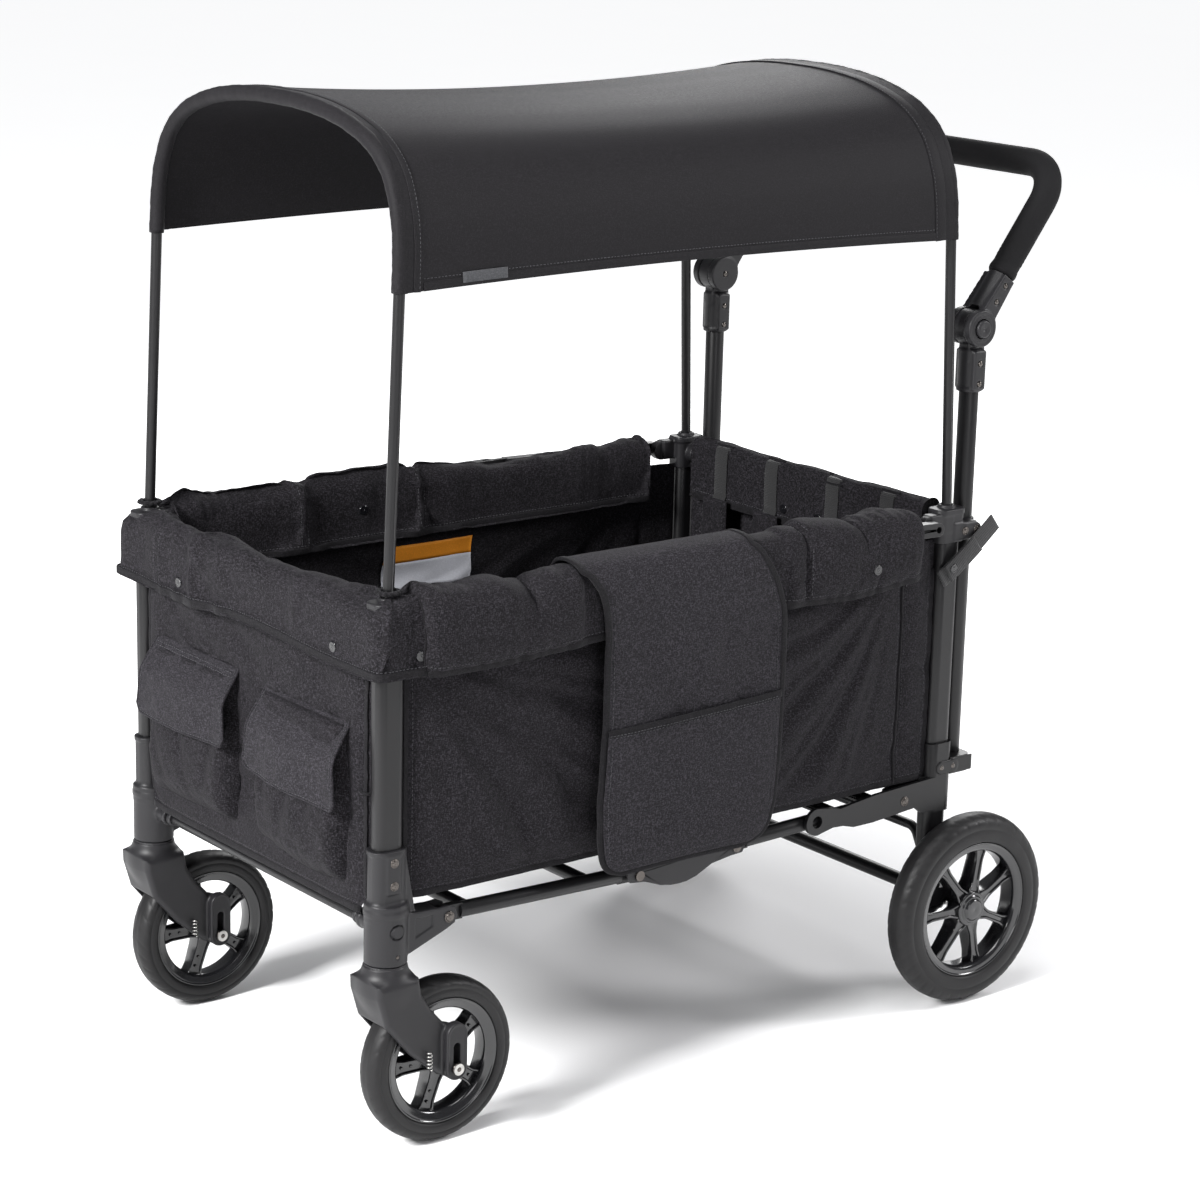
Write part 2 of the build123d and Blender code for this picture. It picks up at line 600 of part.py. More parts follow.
def handle_path(start):
    return HANDLE_PLANE * FilletPolyline(
        (-UPRIGHT_X, start), (-UPRIGHT_X, HANDLE_REACH), (UPRIGHT_X, HANDLE_REACH),
        (UPRIGHT_X, start), radius=HANDLE_BEND)


upright = rod_z(UPRIGHT_R, 303, UPRIGHT_TOP, UPRIGHT_X, UPRIGHT_Y)
upright -= rod_z(UPRIGHT_R - UPRIGHT_WALL, 300, 860, UPRIGHT_X, UPRIGHT_Y)
save_pair("handle_uprights", upright)
save_pair("handle_bases", handle_base())
save_pair("handle_hubs", handle_hub())

handle_button = rod_x(11.5, 265.5, 276, HUB_Y, HUB_Z)
handle_button = fillet(handle_button.edges().group_by(Axis.X)[-1], 1.5)
save_sides("handle_button", handle_button)

bar_path = handle_path(HANDLE_START)
save("handle_bar", pipe(bar_path, HANDLE_R))
grip = pipe(handle_path(GRIP_START), GRIP_R)
grip -= pipe(bar_path, HANDLE_R + TUBE_FIT)
save("handle_grip", grip)

# ---------------------------------------------------------------------------
# canopy hoops and cover
# ---------------------------------------------------------------------------
POLE_FOOT, POLE_BEND_Z = 590.0, 658.0
# left half of a hoop's arch, from its foot upwards, as (x, z)
HALF_ARCH = [(258, 1012), (256.5, 1050), (250, 1085), (231.5, 1124), (197, 1153),
             (150, 1171), (100, 1181), (45, 1186)]
ARCH = HALF_ARCH + [(0, 1186.7)] + [(-x, z) for x, z in reversed(HALF_ARCH)]
# the hoops lean towards each other: Y travel over the rise from bend to arch
LEAN_RISE = HALF_ARCH[0][1] - POLE_BEND_Z
FRONT_LEAN, REAR_LEAN = 13.8 / LEAN_RISE, -15.3 / LEAN_RISE
COVER_CURVE = [(258.4, 1000.0)] + ARCH + [(-258.4, 1000.0)]
SLEEVE_IN_R, SLEEVE_OUT_R = 7.6, 9.6


def lean_plane(y, lean):
    """Plane of a hoop: local x is X, local y runs up the leaning pole."""
    norm = math.hypot(1.0, lean)
    return Plane(origin=(0, y, POLE_BEND_Z), x_dir=(1, 0, 0),
                 z_dir=(0, -1.0 / norm, lean / norm))


def above_bend(curve):
    return [(x, z - POLE_BEND_Z) for x, z in curve]


def hoop(y, lean):
    points = above_bend(ARCH)
    arch = Spline(*points, tangents=((-0.005, 1), (-0.005, -1)))
    wire = lean_plane(y, lean) * Wire([Line((POST_X, 0), points[0]), arch,
                                       Line(points[-1], (-POST_X, 0))])
    body = sweep((wire ^ 0) * Circle(POLE_R), path=wire, transition=Transition.ROUND)
    for x in (-POST_X, POST_X):
        body += rod_z(POLE_R, POLE_FOOT, POLE_BEND_Z, x, y)
        body += Pos(x, y, POLE_BEND_Z) * Sphere(POLE_R)
    return body


def sleeve(y, lean):
    """The tube of cloth that holds a hoop, open at both ends."""
    wire = lean_plane(y, lean) * Spline(*above_bend(COVER_CURVE),
                                        tangents=((-0.03, 1), (-0.03, -1)))
    return sweep((wire ^ 0) * (Circle(SLEEVE_OUT_R) - Circle(SLEEVE_IN_R)), path=wire)


def offset_curve(distance):
    """Points of the cover curve moved outwards along its normals."""
    last = len(COVER_CURVE) - 1
    moved = []
    for i, (x, z) in enumerate(COVER_CURVE):
        before, after = COVER_CURVE[max(i - 1, 0)], COVER_CURVE[min(i + 1, last)]
        run, rise = after[0] - before[0], after[1] - before[1]
        length = math.hypot(run, rise)
        moved.append((x + distance * rise / length, z - distance * run / length))
    return moved


def canopy_sheet():
    front_y, rear_y = FRONT_POST_Y + 14.0, REAR_POST_Y - 15.0
    inner, outer = offset_curve(SLEEVE_IN_R + 0.2), offset_curve(SLEEVE_OUT_R)
    section = make_face(Spline(*inner) + Line(inner[-1], outer[-1])
                        + Spline(*reversed(outer)) + Line(outer[0], inner[0]))
    return Pos(0, rear_y, 0) * extrude(Plane.XZ * section, rear_y - front_y)


save("front_canopy_hoop", hoop(FRONT_POST_Y, FRONT_LEAN))
save("rear_canopy_hoop", hoop(REAR_POST_Y, REAR_LEAN))
save("canopy_cover", canopy_sheet() + sleeve(FRONT_POST_Y, FRONT_LEAN)
     + sleeve(REAR_POST_Y, REAR_LEAN))

# ---------------------------------------------------------------------------
# padded rim: channels open below
# ---------------------------------------------------------------------------
PAD_TOP, PAD_LOW = 668.0, 574.0
PAD_IN, PAD_OUT = 238.0, 299.0
CAVITY = (PAD_LOW - 5, 660)     # z range of the hollow


def side_pad():
    pad = block(PAD_IN, PAD_OUT, -441.5, 312, PAD_LOW, PAD_TOP)
    pad = fillet(pad.edges().filter_by(Axis.Y).group_by(Axis.Z)[-1], 6)
    pad -= block(PAD_IN + 6, PAD_OUT - 5.5, -450, 320, *CAVITY)
    return pad


def round_front(body, radius):
    """Fillet the two upright edges at the front."""
    return fillet(body.edges().filter_by(Axis.Z).group_by(Axis.Y)[0], radius)


def front_pad():
    pad = round_front(block(-PAD_OUT, PAD_OUT, -507, -442, PAD_LOW, PAD_TOP), 20)
    pad -= round_front(block(-PAD_OUT + 5.5, PAD_OUT - 5.5, -501, -430, *CAVITY), 14)
    pad += block(-237, 237, -442.5, -436, PAD_LOW + 8, PAD_TOP)   # rear wall
    for x in (-POST_X, POST_X):
        pad -= rod_z(POLE_R + 1.5, 650, 680, x, FRONT_POST_Y)
    return pad


def rear_pad():
    pad = block(-235, 235, 366, 404, PAD_LOW, PAD_TOP)
    pad = fillet(pad.edges().filter_by(Axis.X).group_by(Axis.Z)[-1], 6)
    pad -= block(-240, 240, 371, 399.5, *CAVITY)
    return pad


save_pair("side_rim_pads", side_pad())
save("front_rim_pad", front_pad())
save("rear_rim_pad", rear_pad())

# ---------------------------------------------------------------------------
# cloth walls and cargo pockets
# ---------------------------------------------------------------------------
WALL_HALF_W, WALL_TOP = 243, 626
FRONT_WALL = (-482.5, -479)     # y range
save_pair("side_panels", block(264, 267.5, -431, 362, 305, 622))
save("rear_wall_panel", block(-WALL_HALF_W, WALL_HALF_W, 395.2, 398.7, 300, WALL_TOP))
save("front_wall_panel", block(-WALL_HALF_W, WALL_HALF_W, *FRONT_WALL, 303, WALL_TOP)
     + block(-232, 232, *FRONT_WALL, 285, 304))

POCKET_IN, POCKET_OUT = 28.0, 214.0
POCKET_FRONT, POCKET_BACK, POCKET_TOP = -514, -482.7, 512
pouch = block(POCKET_IN + 6, POCKET_OUT - 6, -511, POCKET_BACK, 325, 505)
# flap over the front and top
pouch += block(POCKET_IN, POCKET_OUT, POCKET_FRONT, -510, 412, POCKET_TOP)
pouch += block(POCKET_IN, POCKET_OUT, POCKET_FRONT, POCKET_BACK, 504, POCKET_TOP)
save_pair("cargo_pockets", pouch)

# ---------------------------------------------------------------------------
# seats
# ---------------------------------------------------------------------------
SEAT_DEPTH, SEAT_HALF_W, SEAT_HALF_T = 225.0, 222.0, 15.0


def seat(tube_y, direction):
    """A padded seat board that wraps a cross tube and reaches into the cabin."""
    body = rod_x(SEAT_HALF_T, -SEAT_HALF_W, SEAT_HALF_W, tube_y, SEAT_Z)
    body += block(-SEAT_HALF_W, SEAT_HALF_W, tube_y, tube_y + direction * SEAT_DEPTH,
                  SEAT_Z - SEAT_HALF_T, SEAT_Z + SEAT_HALF_T)
    body -= rod_x(SEAT_TUBE_R + RUN, -250, 250, tube_y, SEAT_Z)
    return body


save("rear_seat", seat(REAR_SEAT_Y, -1))
save("front_seat", seat(FRONT_SEAT_Y, 1))

# ---------------------------------------------------------------------------
# organiser flap folded over the left rim, and webbing straps
# ---------------------------------------------------------------------------
FLAP_IN, FLAP_OUT, FLAP_TOP = 232, 305, 674
FLAP_SPAN = (-228, 72)          # y range
flap = block(300, FLAP_OUT, *FLAP_SPAN, 300, FLAP_TOP)
flap += block(FLAP_IN, FLAP_OUT, *FLAP_SPAN, 669, FLAP_TOP)
flap += block(FLAP_IN, 236.5, *FLAP_SPAN, 600, FLAP_TOP)
save("organiser_flap", flap)

STRAP_HALF_W = 12.5
STRAP_BACK = 364.5


def back_strap(x):
    """An upright strap ahead of the rear wall, with a wider pad on it."""
    strap = block(x - STRAP_HALF_W, x + STRAP_HALF_W, 361.5, STRAP_BACK, 470, 640)
    strap += block(x - 25, x + 25, 355, STRAP_BACK, 490, 590)
    return strap


def slanted_strap():
    """A flat strap beside the rear post, rising to the rear."""
    low, high = Vector(370, 577), Vector(444, 631)     # ends as (y, z)
    run = high - low
    aside = Vector(-run.Y, run.X) * (STRAP_HALF_W / run.length)
    corners = (low - aside, low + aside, high + aside, high - aside)
    return side_plate([(corner.X, corner.Y) for corner in corners], 279.5, 282.0)


diagonal = slanted_strap()
save("webbing_straps", *[back_strap(x) for x in (-165, -60, 60, 165)],
     diagonal, mirrored(diagonal))
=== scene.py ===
"""A folding wagon: cloth walls under padded rims, four wheels, two seats, a canopy on two
hoops and a push handle.

It stands on Z = 0 with its length along Y. The front is at -Y and the left side at +X.
Design sizes are in millimetres, with Y counted from the middle of the wheelbase; to_frame()
turns them into the metres of the frame.
"""
import bpy
import bmesh
import json
import math
import numpy as np
from mathutils import Vector, Matrix
from mathutils.bvhtree import BVHTree


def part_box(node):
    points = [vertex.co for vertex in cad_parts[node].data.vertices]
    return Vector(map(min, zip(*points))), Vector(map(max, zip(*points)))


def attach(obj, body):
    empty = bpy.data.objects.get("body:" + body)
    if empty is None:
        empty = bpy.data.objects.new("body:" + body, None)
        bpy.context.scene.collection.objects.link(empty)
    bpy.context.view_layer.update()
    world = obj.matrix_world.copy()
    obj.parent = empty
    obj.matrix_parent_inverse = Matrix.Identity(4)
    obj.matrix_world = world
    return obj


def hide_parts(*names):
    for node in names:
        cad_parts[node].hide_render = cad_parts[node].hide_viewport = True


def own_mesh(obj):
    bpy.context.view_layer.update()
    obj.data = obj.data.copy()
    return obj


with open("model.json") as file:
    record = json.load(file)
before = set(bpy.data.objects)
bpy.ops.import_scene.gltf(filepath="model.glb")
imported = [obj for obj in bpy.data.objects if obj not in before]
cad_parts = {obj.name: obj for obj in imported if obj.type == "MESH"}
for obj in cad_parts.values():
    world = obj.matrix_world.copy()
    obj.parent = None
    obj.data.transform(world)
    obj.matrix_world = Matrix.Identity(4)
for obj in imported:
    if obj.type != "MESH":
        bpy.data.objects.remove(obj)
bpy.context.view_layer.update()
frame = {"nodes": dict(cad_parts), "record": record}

# Driving dimensions, mm
POST_X = 260.0                      # the four corner posts stand at +-POST_X
FRONT_POST_Y = -467.5
REAR_POST_Y = 385.0
FRONT_AXLE = (260.0, -396.0, 100.0)
REAR_AXLE = (296.0, 420.0, 127.0)
UPRIGHT_X = 250.0                   # uprights that carry the handle
HINGE_Y, HINGE_Z = 421.0, 885.0     # hinge of the handle
HANDLE_ANGLE = math.radians(52.7)   # of the handle above the horizontal
HANDLE_COS, HANDLE_SIN = math.cos(HANDLE_ANGLE), math.sin(HANDLE_ANGLE)
HARNESS_X = (-165.0, -60.0, 60.0, 165.0)
SIDES = (("left", 1), ("right", -1))
VOXEL = 1.1       # grid pitch of the moulded parts

_lo, _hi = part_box("front_posts")
SHIFT_Y = (_lo.y + _hi.y) * 500.0 - FRONT_POST_Y


def to_frame(points):
    """Design points in mm as frame points in metres."""
    moved = np.array(points, float).reshape(-1, 3)
    moved[:, 1] += SHIFT_Y
    return moved / 1000.0


# ---------------------------------------------------------------------------
# seeded value noise
# ---------------------------------------------------------------------------
def lattice_value(i, j, k, seed):
    n = (i * 374761393 + j * 668265263 + k * 2147483647 + seed * 1274126177) & 0xFFFFFFFF
    n = ((n ^ (n >> 13)) * 1274126177) & 0xFFFFFFFF
    n = (n ^ (n >> 16)) & 0xFFFFFFFF
    return n / 4294967295.0 * 2.0 - 1.0


def value_noise(points, scale, seed):
    """Smooth noise in -1..1 at points (n, 3) in mm, one bump per `scale` mm."""
    cell_pos = np.asarray(points, float) / scale
    base = np.floor(cell_pos).astype(np.int64)
    near = cell_pos - base
    near = near * near * (3 - 2 * near)
    out = 0
    for dx in (0, 1):
        for dy in (0, 1):
            for dz in (0, 1):
                weight = ((near[:, 0] if dx else 1 - near[:, 0])
                          * (near[:, 1] if dy else 1 - near[:, 1])
                          * (near[:, 2] if dz else 1 - near[:, 2]))
                out = out + weight * lattice_value(
                    base[:, 0] + dx, base[:, 1] + dy, base[:, 2] + dz, seed)
    return out


def fbm(points, scale, seed, octaves):
    out, amp = 0, 1.0
    for o in range(octaves):
        out = out + amp * value_noise(points, scale / 2 ** o, seed + o * 17)
        amp *= 0.5
    return out / 1.75


def noise_over(x, y, z, scale, seed, octaves=3):
    """fbm at coordinates given as arrays of any one shape."""
    x, y, z = np.broadcast_arrays(x, y, z)
    points = np.stack([x.ravel(), y.ravel(), z.ravel()], 1)
    return fbm(points, scale, seed, octaves).reshape(x.shape)


def smooth(t, a=0.0, b=1.0):
    t = np.clip((np.asarray(t, float) - a) / (b - a), 0, 1)
    return t * t * (3 - 2 * t)


# ---------------------------------------------------------------------------
# materials: procedural, in object coordinates (metres)
# ---------------------------------------------------------------------------
class Shader:
    """A Principled material and short ways to add nodes to it."""

    def __init__(self, name):
        self.mat = bpy.data.materials.new(name)
        self.mat.use_nodes = True
        self.tree = self.mat.node_tree
        self.tree.nodes.clear()
        out = self.node("ShaderNodeOutputMaterial")
        self.bsdf = self.node("ShaderNodeBsdfPrincipled")
        self.link(self.bsdf.outputs[0], out.inputs[0])
        self.obj = self.node("ShaderNodeTexCoord").outputs["Object"]

    def link(self, a, b):
        self.tree.links.new(a, b)

    def node(self, kind, **settings):
        n = self.tree.nodes.new(kind)
        for key, value in settings.items():
            setattr(n, key, value)
        return n

    def put(self, socket, value):
        if isinstance(value, bpy.types.NodeSocket):
            self.link(value, socket)
        else:
            socket.default_value = value

    def math(self, op, a, b=None):
        n = self.node("ShaderNodeMath", operation=op)
        self.put(n.inputs[0], a)
        if b is not None:
            self.put(n.inputs[1], b)
        return n.outputs[0]

    def scaled(self, vector, scale):
        n = self.node("ShaderNodeVectorMath", operation="MULTIPLY")
        self.put(n.inputs[0], vector)
        n.inputs[1].default_value = scale
        return n.outputs[0]

    def noise(self, scale, detail=2.0, rough=0.5, vec=None):
        n = self.node("ShaderNodeTexNoise")
        self.link(self.obj if vec is None else vec, n.inputs["Vector"])
        n.inputs["Scale"].default_value = scale
        n.inputs["Detail"].default_value = detail
        n.inputs["Roughness"].default_value = rough
        return n.outputs["Fac"]

    def ramp(self, fac, *stops):
        """Grey ramp; stops are (position, value)."""
        n = self.node("ShaderNodeValToRGB")
        elements = n.color_ramp.elements
        while len(elements) < len(stops):
            elements.new(0.5)
        for element, (pos, grey) in zip(elements, stops):
            element.position = pos
            element.color = (grey, grey, grey, 1)
        self.link(fac, n.inputs[0])
        return n.outputs[0]

    def mix(self, fac, a, b):
        n = self.node("ShaderNodeMix", data_type="RGBA", blend_type="MIX")
        self.put(n.inputs[0], fac)
        for socket, value in ((n.inputs[6], a), (n.inputs[7], b)):
            self.put(socket, (*value, 1) if isinstance(value, tuple) else value)
        return n.outputs[2]

    def bump(self, height, strength, dist):
        n = self.node("ShaderNodeBump")
        n.inputs["Strength"].default_value = strength
        n.inputs["Distance"].default_value = dist
        self.link(height, n.inputs["Height"])
        return n.outputs[0]

    def set(self, **values):
        for key, value in values.items():
            self.put(self.bsdf.inputs[key.replace("_", " ")], value)

    def edge(self):
        """1 on convex edges."""
        g = self.node("ShaderNodeNewGeometry")
        return self.ramp(g.outputs["Pointiness"], (0.50, 0.0), (0.56, 1.0))


def shade(colour, k):
    return tuple(min(1.0, c * k) for c in colour)


def weave(sh, pitch):
    """Interlaced threads in three directions, so that any face shows a weave."""
    sine = sh.node("ShaderNodeVectorMath", operation="SINE")
    k = 2 * math.pi / pitch
    sh.link(sh.scaled(sh.obj, (k, k, k)), sine.inputs[0])
    split = sh.node("ShaderNodeSeparateXYZ")
    sh.link(sine.outputs[0], split.inputs[0])
    x, y, z = split.outputs
    xy = sh.math("MULTIPLY", x, y)
    yz = sh.math("MULTIPLY", y, z)
    zx = sh.math("MULTIPLY", z, x)
    return sh.math("ADD", sh.math("ADD", xy, yz), zx)


def fabric(name, base, speck=0.78, pitch=0.0012, sheen=0.02, rough=0.78, bump=0.60,
           yarn=0.00108, soil=0.10, spec=0.08):
    """Speckled cloth: speck is the colour contrast, yarn and pitch are lengths in metres,
    soil is the share of broad pale patches."""
    sh = Shader(name)
    fine = sh.noise(1.0 / yarn, detail=2.0, rough=0.7)
    upright = sh.noise(1.0 / yarn, detail=1.0, vec=sh.scaled(sh.obj, (1.0, 1.0, 0.30)))
    level = sh.noise(1.0 / yarn, detail=1.0, vec=sh.scaled(sh.obj, (0.30, 0.30, 1.0)))
    total = sh.math("ADD", sh.math("ADD", upright, level), fine)
    yarns = sh.math("MULTIPLY", total, 0.3333)
    light = sh.ramp(yarns, (0.40, 0.0), (0.50, 0.20), (0.60, 1.0))
    broad = sh.ramp(sh.noise(7.0, detail=3.0), (0.3, 0.0), (0.7, 1.0))
    colour = sh.mix(light, shade(base, 1 - speck), shade(base, 1 + speck * 2.2))
    colour = sh.mix(sh.math("MULTIPLY", broad, soil), colour, shade(base, 1.5))
    height = sh.math("ADD", sh.math("MULTIPLY", weave(sh, pitch), 0.25),
                     sh.math("MULTIPLY", light, 0.8))
    sh.set(Base_Color=colour,
           Roughness=sh.ramp(yarns, (0.35, rough - 0.14), (0.65, min(1.0, rough + 0.06))),
           Normal=sh.bump(height, strength=bump, dist=0.0005),
           Sheen_Weight=sheen, Sheen_Roughness=0.5, Sheen_Tint=(0.80, 0.80, 0.84, 1),
           Specular_IOR_Level=spec)
    return sh.mat


def moulded(name, base, rough=0.5, grain=0.0007, bump=0.10, edge=0.35, spec=0.45, coat=0.0,
            wear=0.10):
    """Grained plastic or paint: edge is how pale its edges wear, wear how rough its scuffs."""
    sh = Shader(name)
    grained = sh.noise(1.0 / grain, detail=3.0, rough=0.6)
    broad = sh.ramp(sh.noise(14.0, detail=4.0, rough=0.6), (0.3, 0.0), (0.75, 1.0))
    colour = sh.mix(broad, shade(base, 0.88), shade(base, 1.14))
    scuff = sh.ramp(sh.noise(60.0, detail=6.0, rough=0.75), (0.60, 0.0), (0.74, 1.0))
    worn = sh.math("MULTIPLY", sh.edge(), sh.math("ADD", scuff, 0.35))
    colour = sh.mix(sh.math("MULTIPLY", worn, edge), colour, shade(base, 2.6))
    uneven = sh.math("ADD", sh.math("MULTIPLY", grained, 0.10), sh.math("MULTIPLY", scuff, wear))
    sh.set(Base_Color=colour, Roughness=sh.math("ADD", uneven, rough - 0.05),
           Specular_IOR_Level=spec, Normal=sh.bump(grained, strength=bump, dist=0.0004))
    if coat:
        sh.set(Coat_Weight=coat, Coat_Roughness=0.12)
    return sh.mat


def metal(name, base, rough):
    """Metal brushed across Z, with darker spots."""
    sh = Shader(name)
    brushed = sh.noise(900.0, detail=3.0, rough=0.6, vec=sh.scaled(sh.obj, (1.0, 1.0, 12.0)))
    spots = sh.ramp(sh.noise(140.0, detail=4.0, rough=0.7), (0.35, 0.0), (0.75, 1.0))
    sh.set(Base_Color=sh.mix(spots, shade(base, 0.7), shade(base, 1.15)), Metallic=1.0,
           Roughness=sh.math("ADD", sh.math("MULTIPLY", brushed, 0.22), rough - 0.1),
           Normal=sh.bump(brushed, strength=0.12, dist=0.0003))
    return sh.mat


def tyre_rubber(name, base):
    """Dusty rubber."""
    sh = Shader(name)
    grained = sh.noise(520.0, detail=5.0, rough=0.7)
    dust = sh.ramp(sh.noise(34.0, detail=5.0, rough=0.65), (0.42, 0.0), (0.78, 1.0))
    sh.set(Base_Color=sh.mix(sh.math("MULTIPLY", dust, 0.45), shade(base, 0.9), shade(base, 1.9)),
           Roughness=sh.math("ADD", sh.math("MULTIPLY", dust, 0.18), 0.46),
           Specular_IOR_Level=0.28, Normal=sh.bump(grained, strength=0.25, dist=0.0005))
    return sh.mat


def woven_strap(name, base, pitch=0.0022):
    """Webbing: ribs counted along the strap by the mesh's own 'run' attribute."""
    sh = Shader(name)
    run = sh.node("ShaderNodeAttribute", attribute_name="run").outputs["Fac"]
    rib = sh.math("SINE", sh.math("MULTIPLY", run, 2 * math.pi / pitch))
    fuzz = sh.noise(1500.0, detail=2.0, rough=0.6)
    height = sh.math("ADD", sh.math("MULTIPLY", rib, 0.5), fuzz)
    light = sh.ramp(height, (0.1, 0.0), (0.9, 1.0))
    sh.set(Base_Color=sh.mix(light, shade(base, 0.55), shade(base, 1.7)), Roughness=0.72,
           Sheen_Weight=0.2, Specular_IOR_Level=0.35,
           Normal=sh.bump(height, strength=0.55, dist=0.0007))
    return sh.mat


MATERIALS = {
    "paint": moulded("paint_charcoal", (0.0050, 0.0048, 0.0054), rough=0.38, grain=0.0011,
                     bump=0.05, edge=0.25, spec=0.30),
    "plastic": moulded("plastic_charcoal", (0.0110, 0.0106, 0.0120), rough=0.46, bump=0.12,
                       edge=0.22, spec=0.30),
    "plastic_black": moulded("plastic_black", (0.0080, 0.0082, 0.0090), rough=0.45,
                             grain=0.0008),
    "gloss": moulded("gloss_black", (0.0075, 0.0075, 0.0085), rough=0.17, grain=0.0020,
                     bump=0.02, edge=0.15, spec=0.55, coat=0.3, wear=0.16),
    "tyre": tyre_rubber("tyre_rubber", (0.0080, 0.0077, 0.0082)),
    "foam": moulded("grip_foam", (0.0062, 0.0060, 0.0066), rough=0.80, grain=0.0009, bump=0.45,
                    edge=0.0, spec=0.14),
    "heather": fabric("heather_weave", (0.0112, 0.0103, 0.0121)),
    "heather_light": fabric("heather_light", (0.0172, 0.0160, 0.0187), speck=0.62),
    "lining": fabric("lining_weave", (0.0060, 0.0060, 0.0066), speck=0.45, sheen=0.05,
                     yarn=0.0013),
    "canopy": fabric("canopy_cloth", (0.0086, 0.0080, 0.0091), speck=0.26, pitch=0.0010,
                     spec=0.10, rough=0.66, bump=0.20, yarn=0.0010, soil=0.05),
    "binding": fabric("binding_tape", (0.0072, 0.0067, 0.0077), speck=0.35, pitch=0.0014,
                      sheen=0.05, yarn=0.0012),
    "thread": fabric("stitch_thread", (0.034, 0.034, 0.037), speck=0.2, pitch=0.0006, sheen=0.2,
                     yarn=0.0008),
    "webbing": woven_strap("webbing_weave", (0.0050, 0.0048, 0.0055)),
    "bronze": metal("rivet_bronze", (0.105, 0.095, 0.088), rough=0.26),
    "steel": metal("zinc_steel", (0.50, 0.49, 0.47), rough=0.28),
    "snap": moulded("snap_black", (0.004, 0.004, 0.005), rough=0.20, bump=0.02, spec=0.6),
    "tag": fabric("blank_tag", (0.055, 0.056, 0.060), speck=0.15, pitch=0.0008, sheen=0.1),
    "label": fabric("blank_label", (0.50, 0.51, 0.55), speck=0.05, pitch=0.0008, sheen=0.0,
                    rough=0.6, bump=0.05, soil=0.05),
    "label_band": fabric("label_band", (0.72, 0.26, 0.025), speck=0.05, pitch=0.0008, sheen=0.0,
                         rough=0.5, bump=0.05, soil=0.03),
    # painted shadow: near-black, laid in the strap slots in place of the shade inside them
    "dark": moulded("shadow_gap", (0.004, 0.004, 0.0045), rough=0.7, bump=0.05, edge=0.0),
}

CAD_LOOK = {
    "frame_paint": "paint", "black_plastic": "plastic", "rim_plastic": "gloss",
    "tyre_rubber": "tyre", "grip_foam": "foam", "heather_fabric": "heather",
    "light_heather": "heather_light", "canopy_fabric": "canopy", "webbing": "webbing",
    "dark_steel": "bronze", "bright_steel": "steel",
}


def dress_cad_pieces():
    """Gives each CAD piece its material, welded vertices and soft edges."""
    slot_of = {s["node"]: s["material_slot"] for s in frame["record"]["subparts"]}
    for name, ob in frame["nodes"].items():
        look = MATERIALS[CAD_LOOK[slot_of[name]]]
        if not ob.material_slots:
            ob.data.materials.append(look)
        for slot in ob.material_slots:
            slot.material = look
        ob.modifiers.new("weld", "WELD").merge_threshold = 0.00002
        soft = ob.modifiers.new("soft_edges", "BEVEL")
        soft.width = 0.0007
        soft.segments = 2
        soft.limit_method = "ANGLE"
        soft.angle_limit = math.radians(38)
        soft.use_clamp_overlap = True
        soft.harden_normals = False


dress_cad_pieces()


# ---------------------------------------------------------------------------
# mesh helpers
# ---------------------------------------------------------------------------
def new_obj(name, verts, faces, mat):
    me = bpy.data.meshes.new(name)
    me.from_pydata(to_frame(verts).tolist(), [], [tuple(int(i) for i in f) for f in faces])
    me.validate()
    me.polygons.foreach_set("use_smooth", [True] * len(me.polygons))
    me.update()
    ob = bpy.data.objects.new(name, me)
    bpy.context.scene.collection.objects.link(ob)
    me.materials.append(MATERIALS[mat])
    return ob


def fix_normals(ob, weld=True):
    bm = bmesh.new()
    bm.from_mesh(ob.data)
    if weld:
        bmesh.ops.remove_doubles(bm, verts=bm.verts, dist=1e-6)
    bmesh.ops.recalc_face_normals(bm, faces=bm.faces)
    bm.to_mesh(ob.data)
    bm.free()
    return ob


def grid(nu, nv, close_u=False, close_v=False):
    """Quads over a grid of nu x nv points."""
    i, j = np.meshgrid(np.arange(nu if close_u else nu - 1),
                       np.arange(nv if close_v else nv - 1), indexing="ij")
    i, j = i.ravel(), j.ravel()
    i2, j2 = (i + 1) % nu, (j + 1) % nv
    return np.stack([i * nv + j, i2 * nv + j, i2 * nv + j2, i * nv + j2], 1)


def unit_grid(nu, nv):
    return np.meshgrid(np.linspace(0, 1, nu), np.linspace(0, 1, nv), indexing="ij")


def double_sheet(front, back):
    """Vertices and faces of two (nu, nv, 3) sheets closed round their edge."""
    nu, nv = front.shape[:2]
    count = nu * nv
    quads = grid(nu, nv)
    faces = [tuple(q) for q in quads] + [tuple(q[::-1] + count) for q in quads]
    ring = ([i * nv for i in range(nu)] + [(nu - 1) * nv + j for j in range(1, nv)]
            + [i * nv + nv - 1 for i in range(nu - 2, -1, -1)]
            + [j for j in range(nv - 2, 0, -1)])
    for p, q in zip(ring, ring[1:] + ring[:1]):
        faces.append((p, p + count, q + count, q))
    return np.concatenate([front.reshape(-1, 3), back.reshape(-1, 3)]), faces


def solid_sheet(name, pts, thick, mat, normal):
    """A closed thin sheet about a (nu, nv, 3) grid; normal is roughly its outer side."""
    n = np.cross(np.gradient(pts, axis=0), np.gradient(pts, axis=1))
    n /= np.linalg.norm(n, axis=2, keepdims=True) + 1e-12
    if (n.reshape(-1, 3).mean(0) @ np.array(normal)) < 0:
        n = -n
    verts, faces = double_sheet(pts + n * thick * 0.5, pts - n * thick * 0.5)
    return fix_normals(new_obj(name, verts, faces, mat))


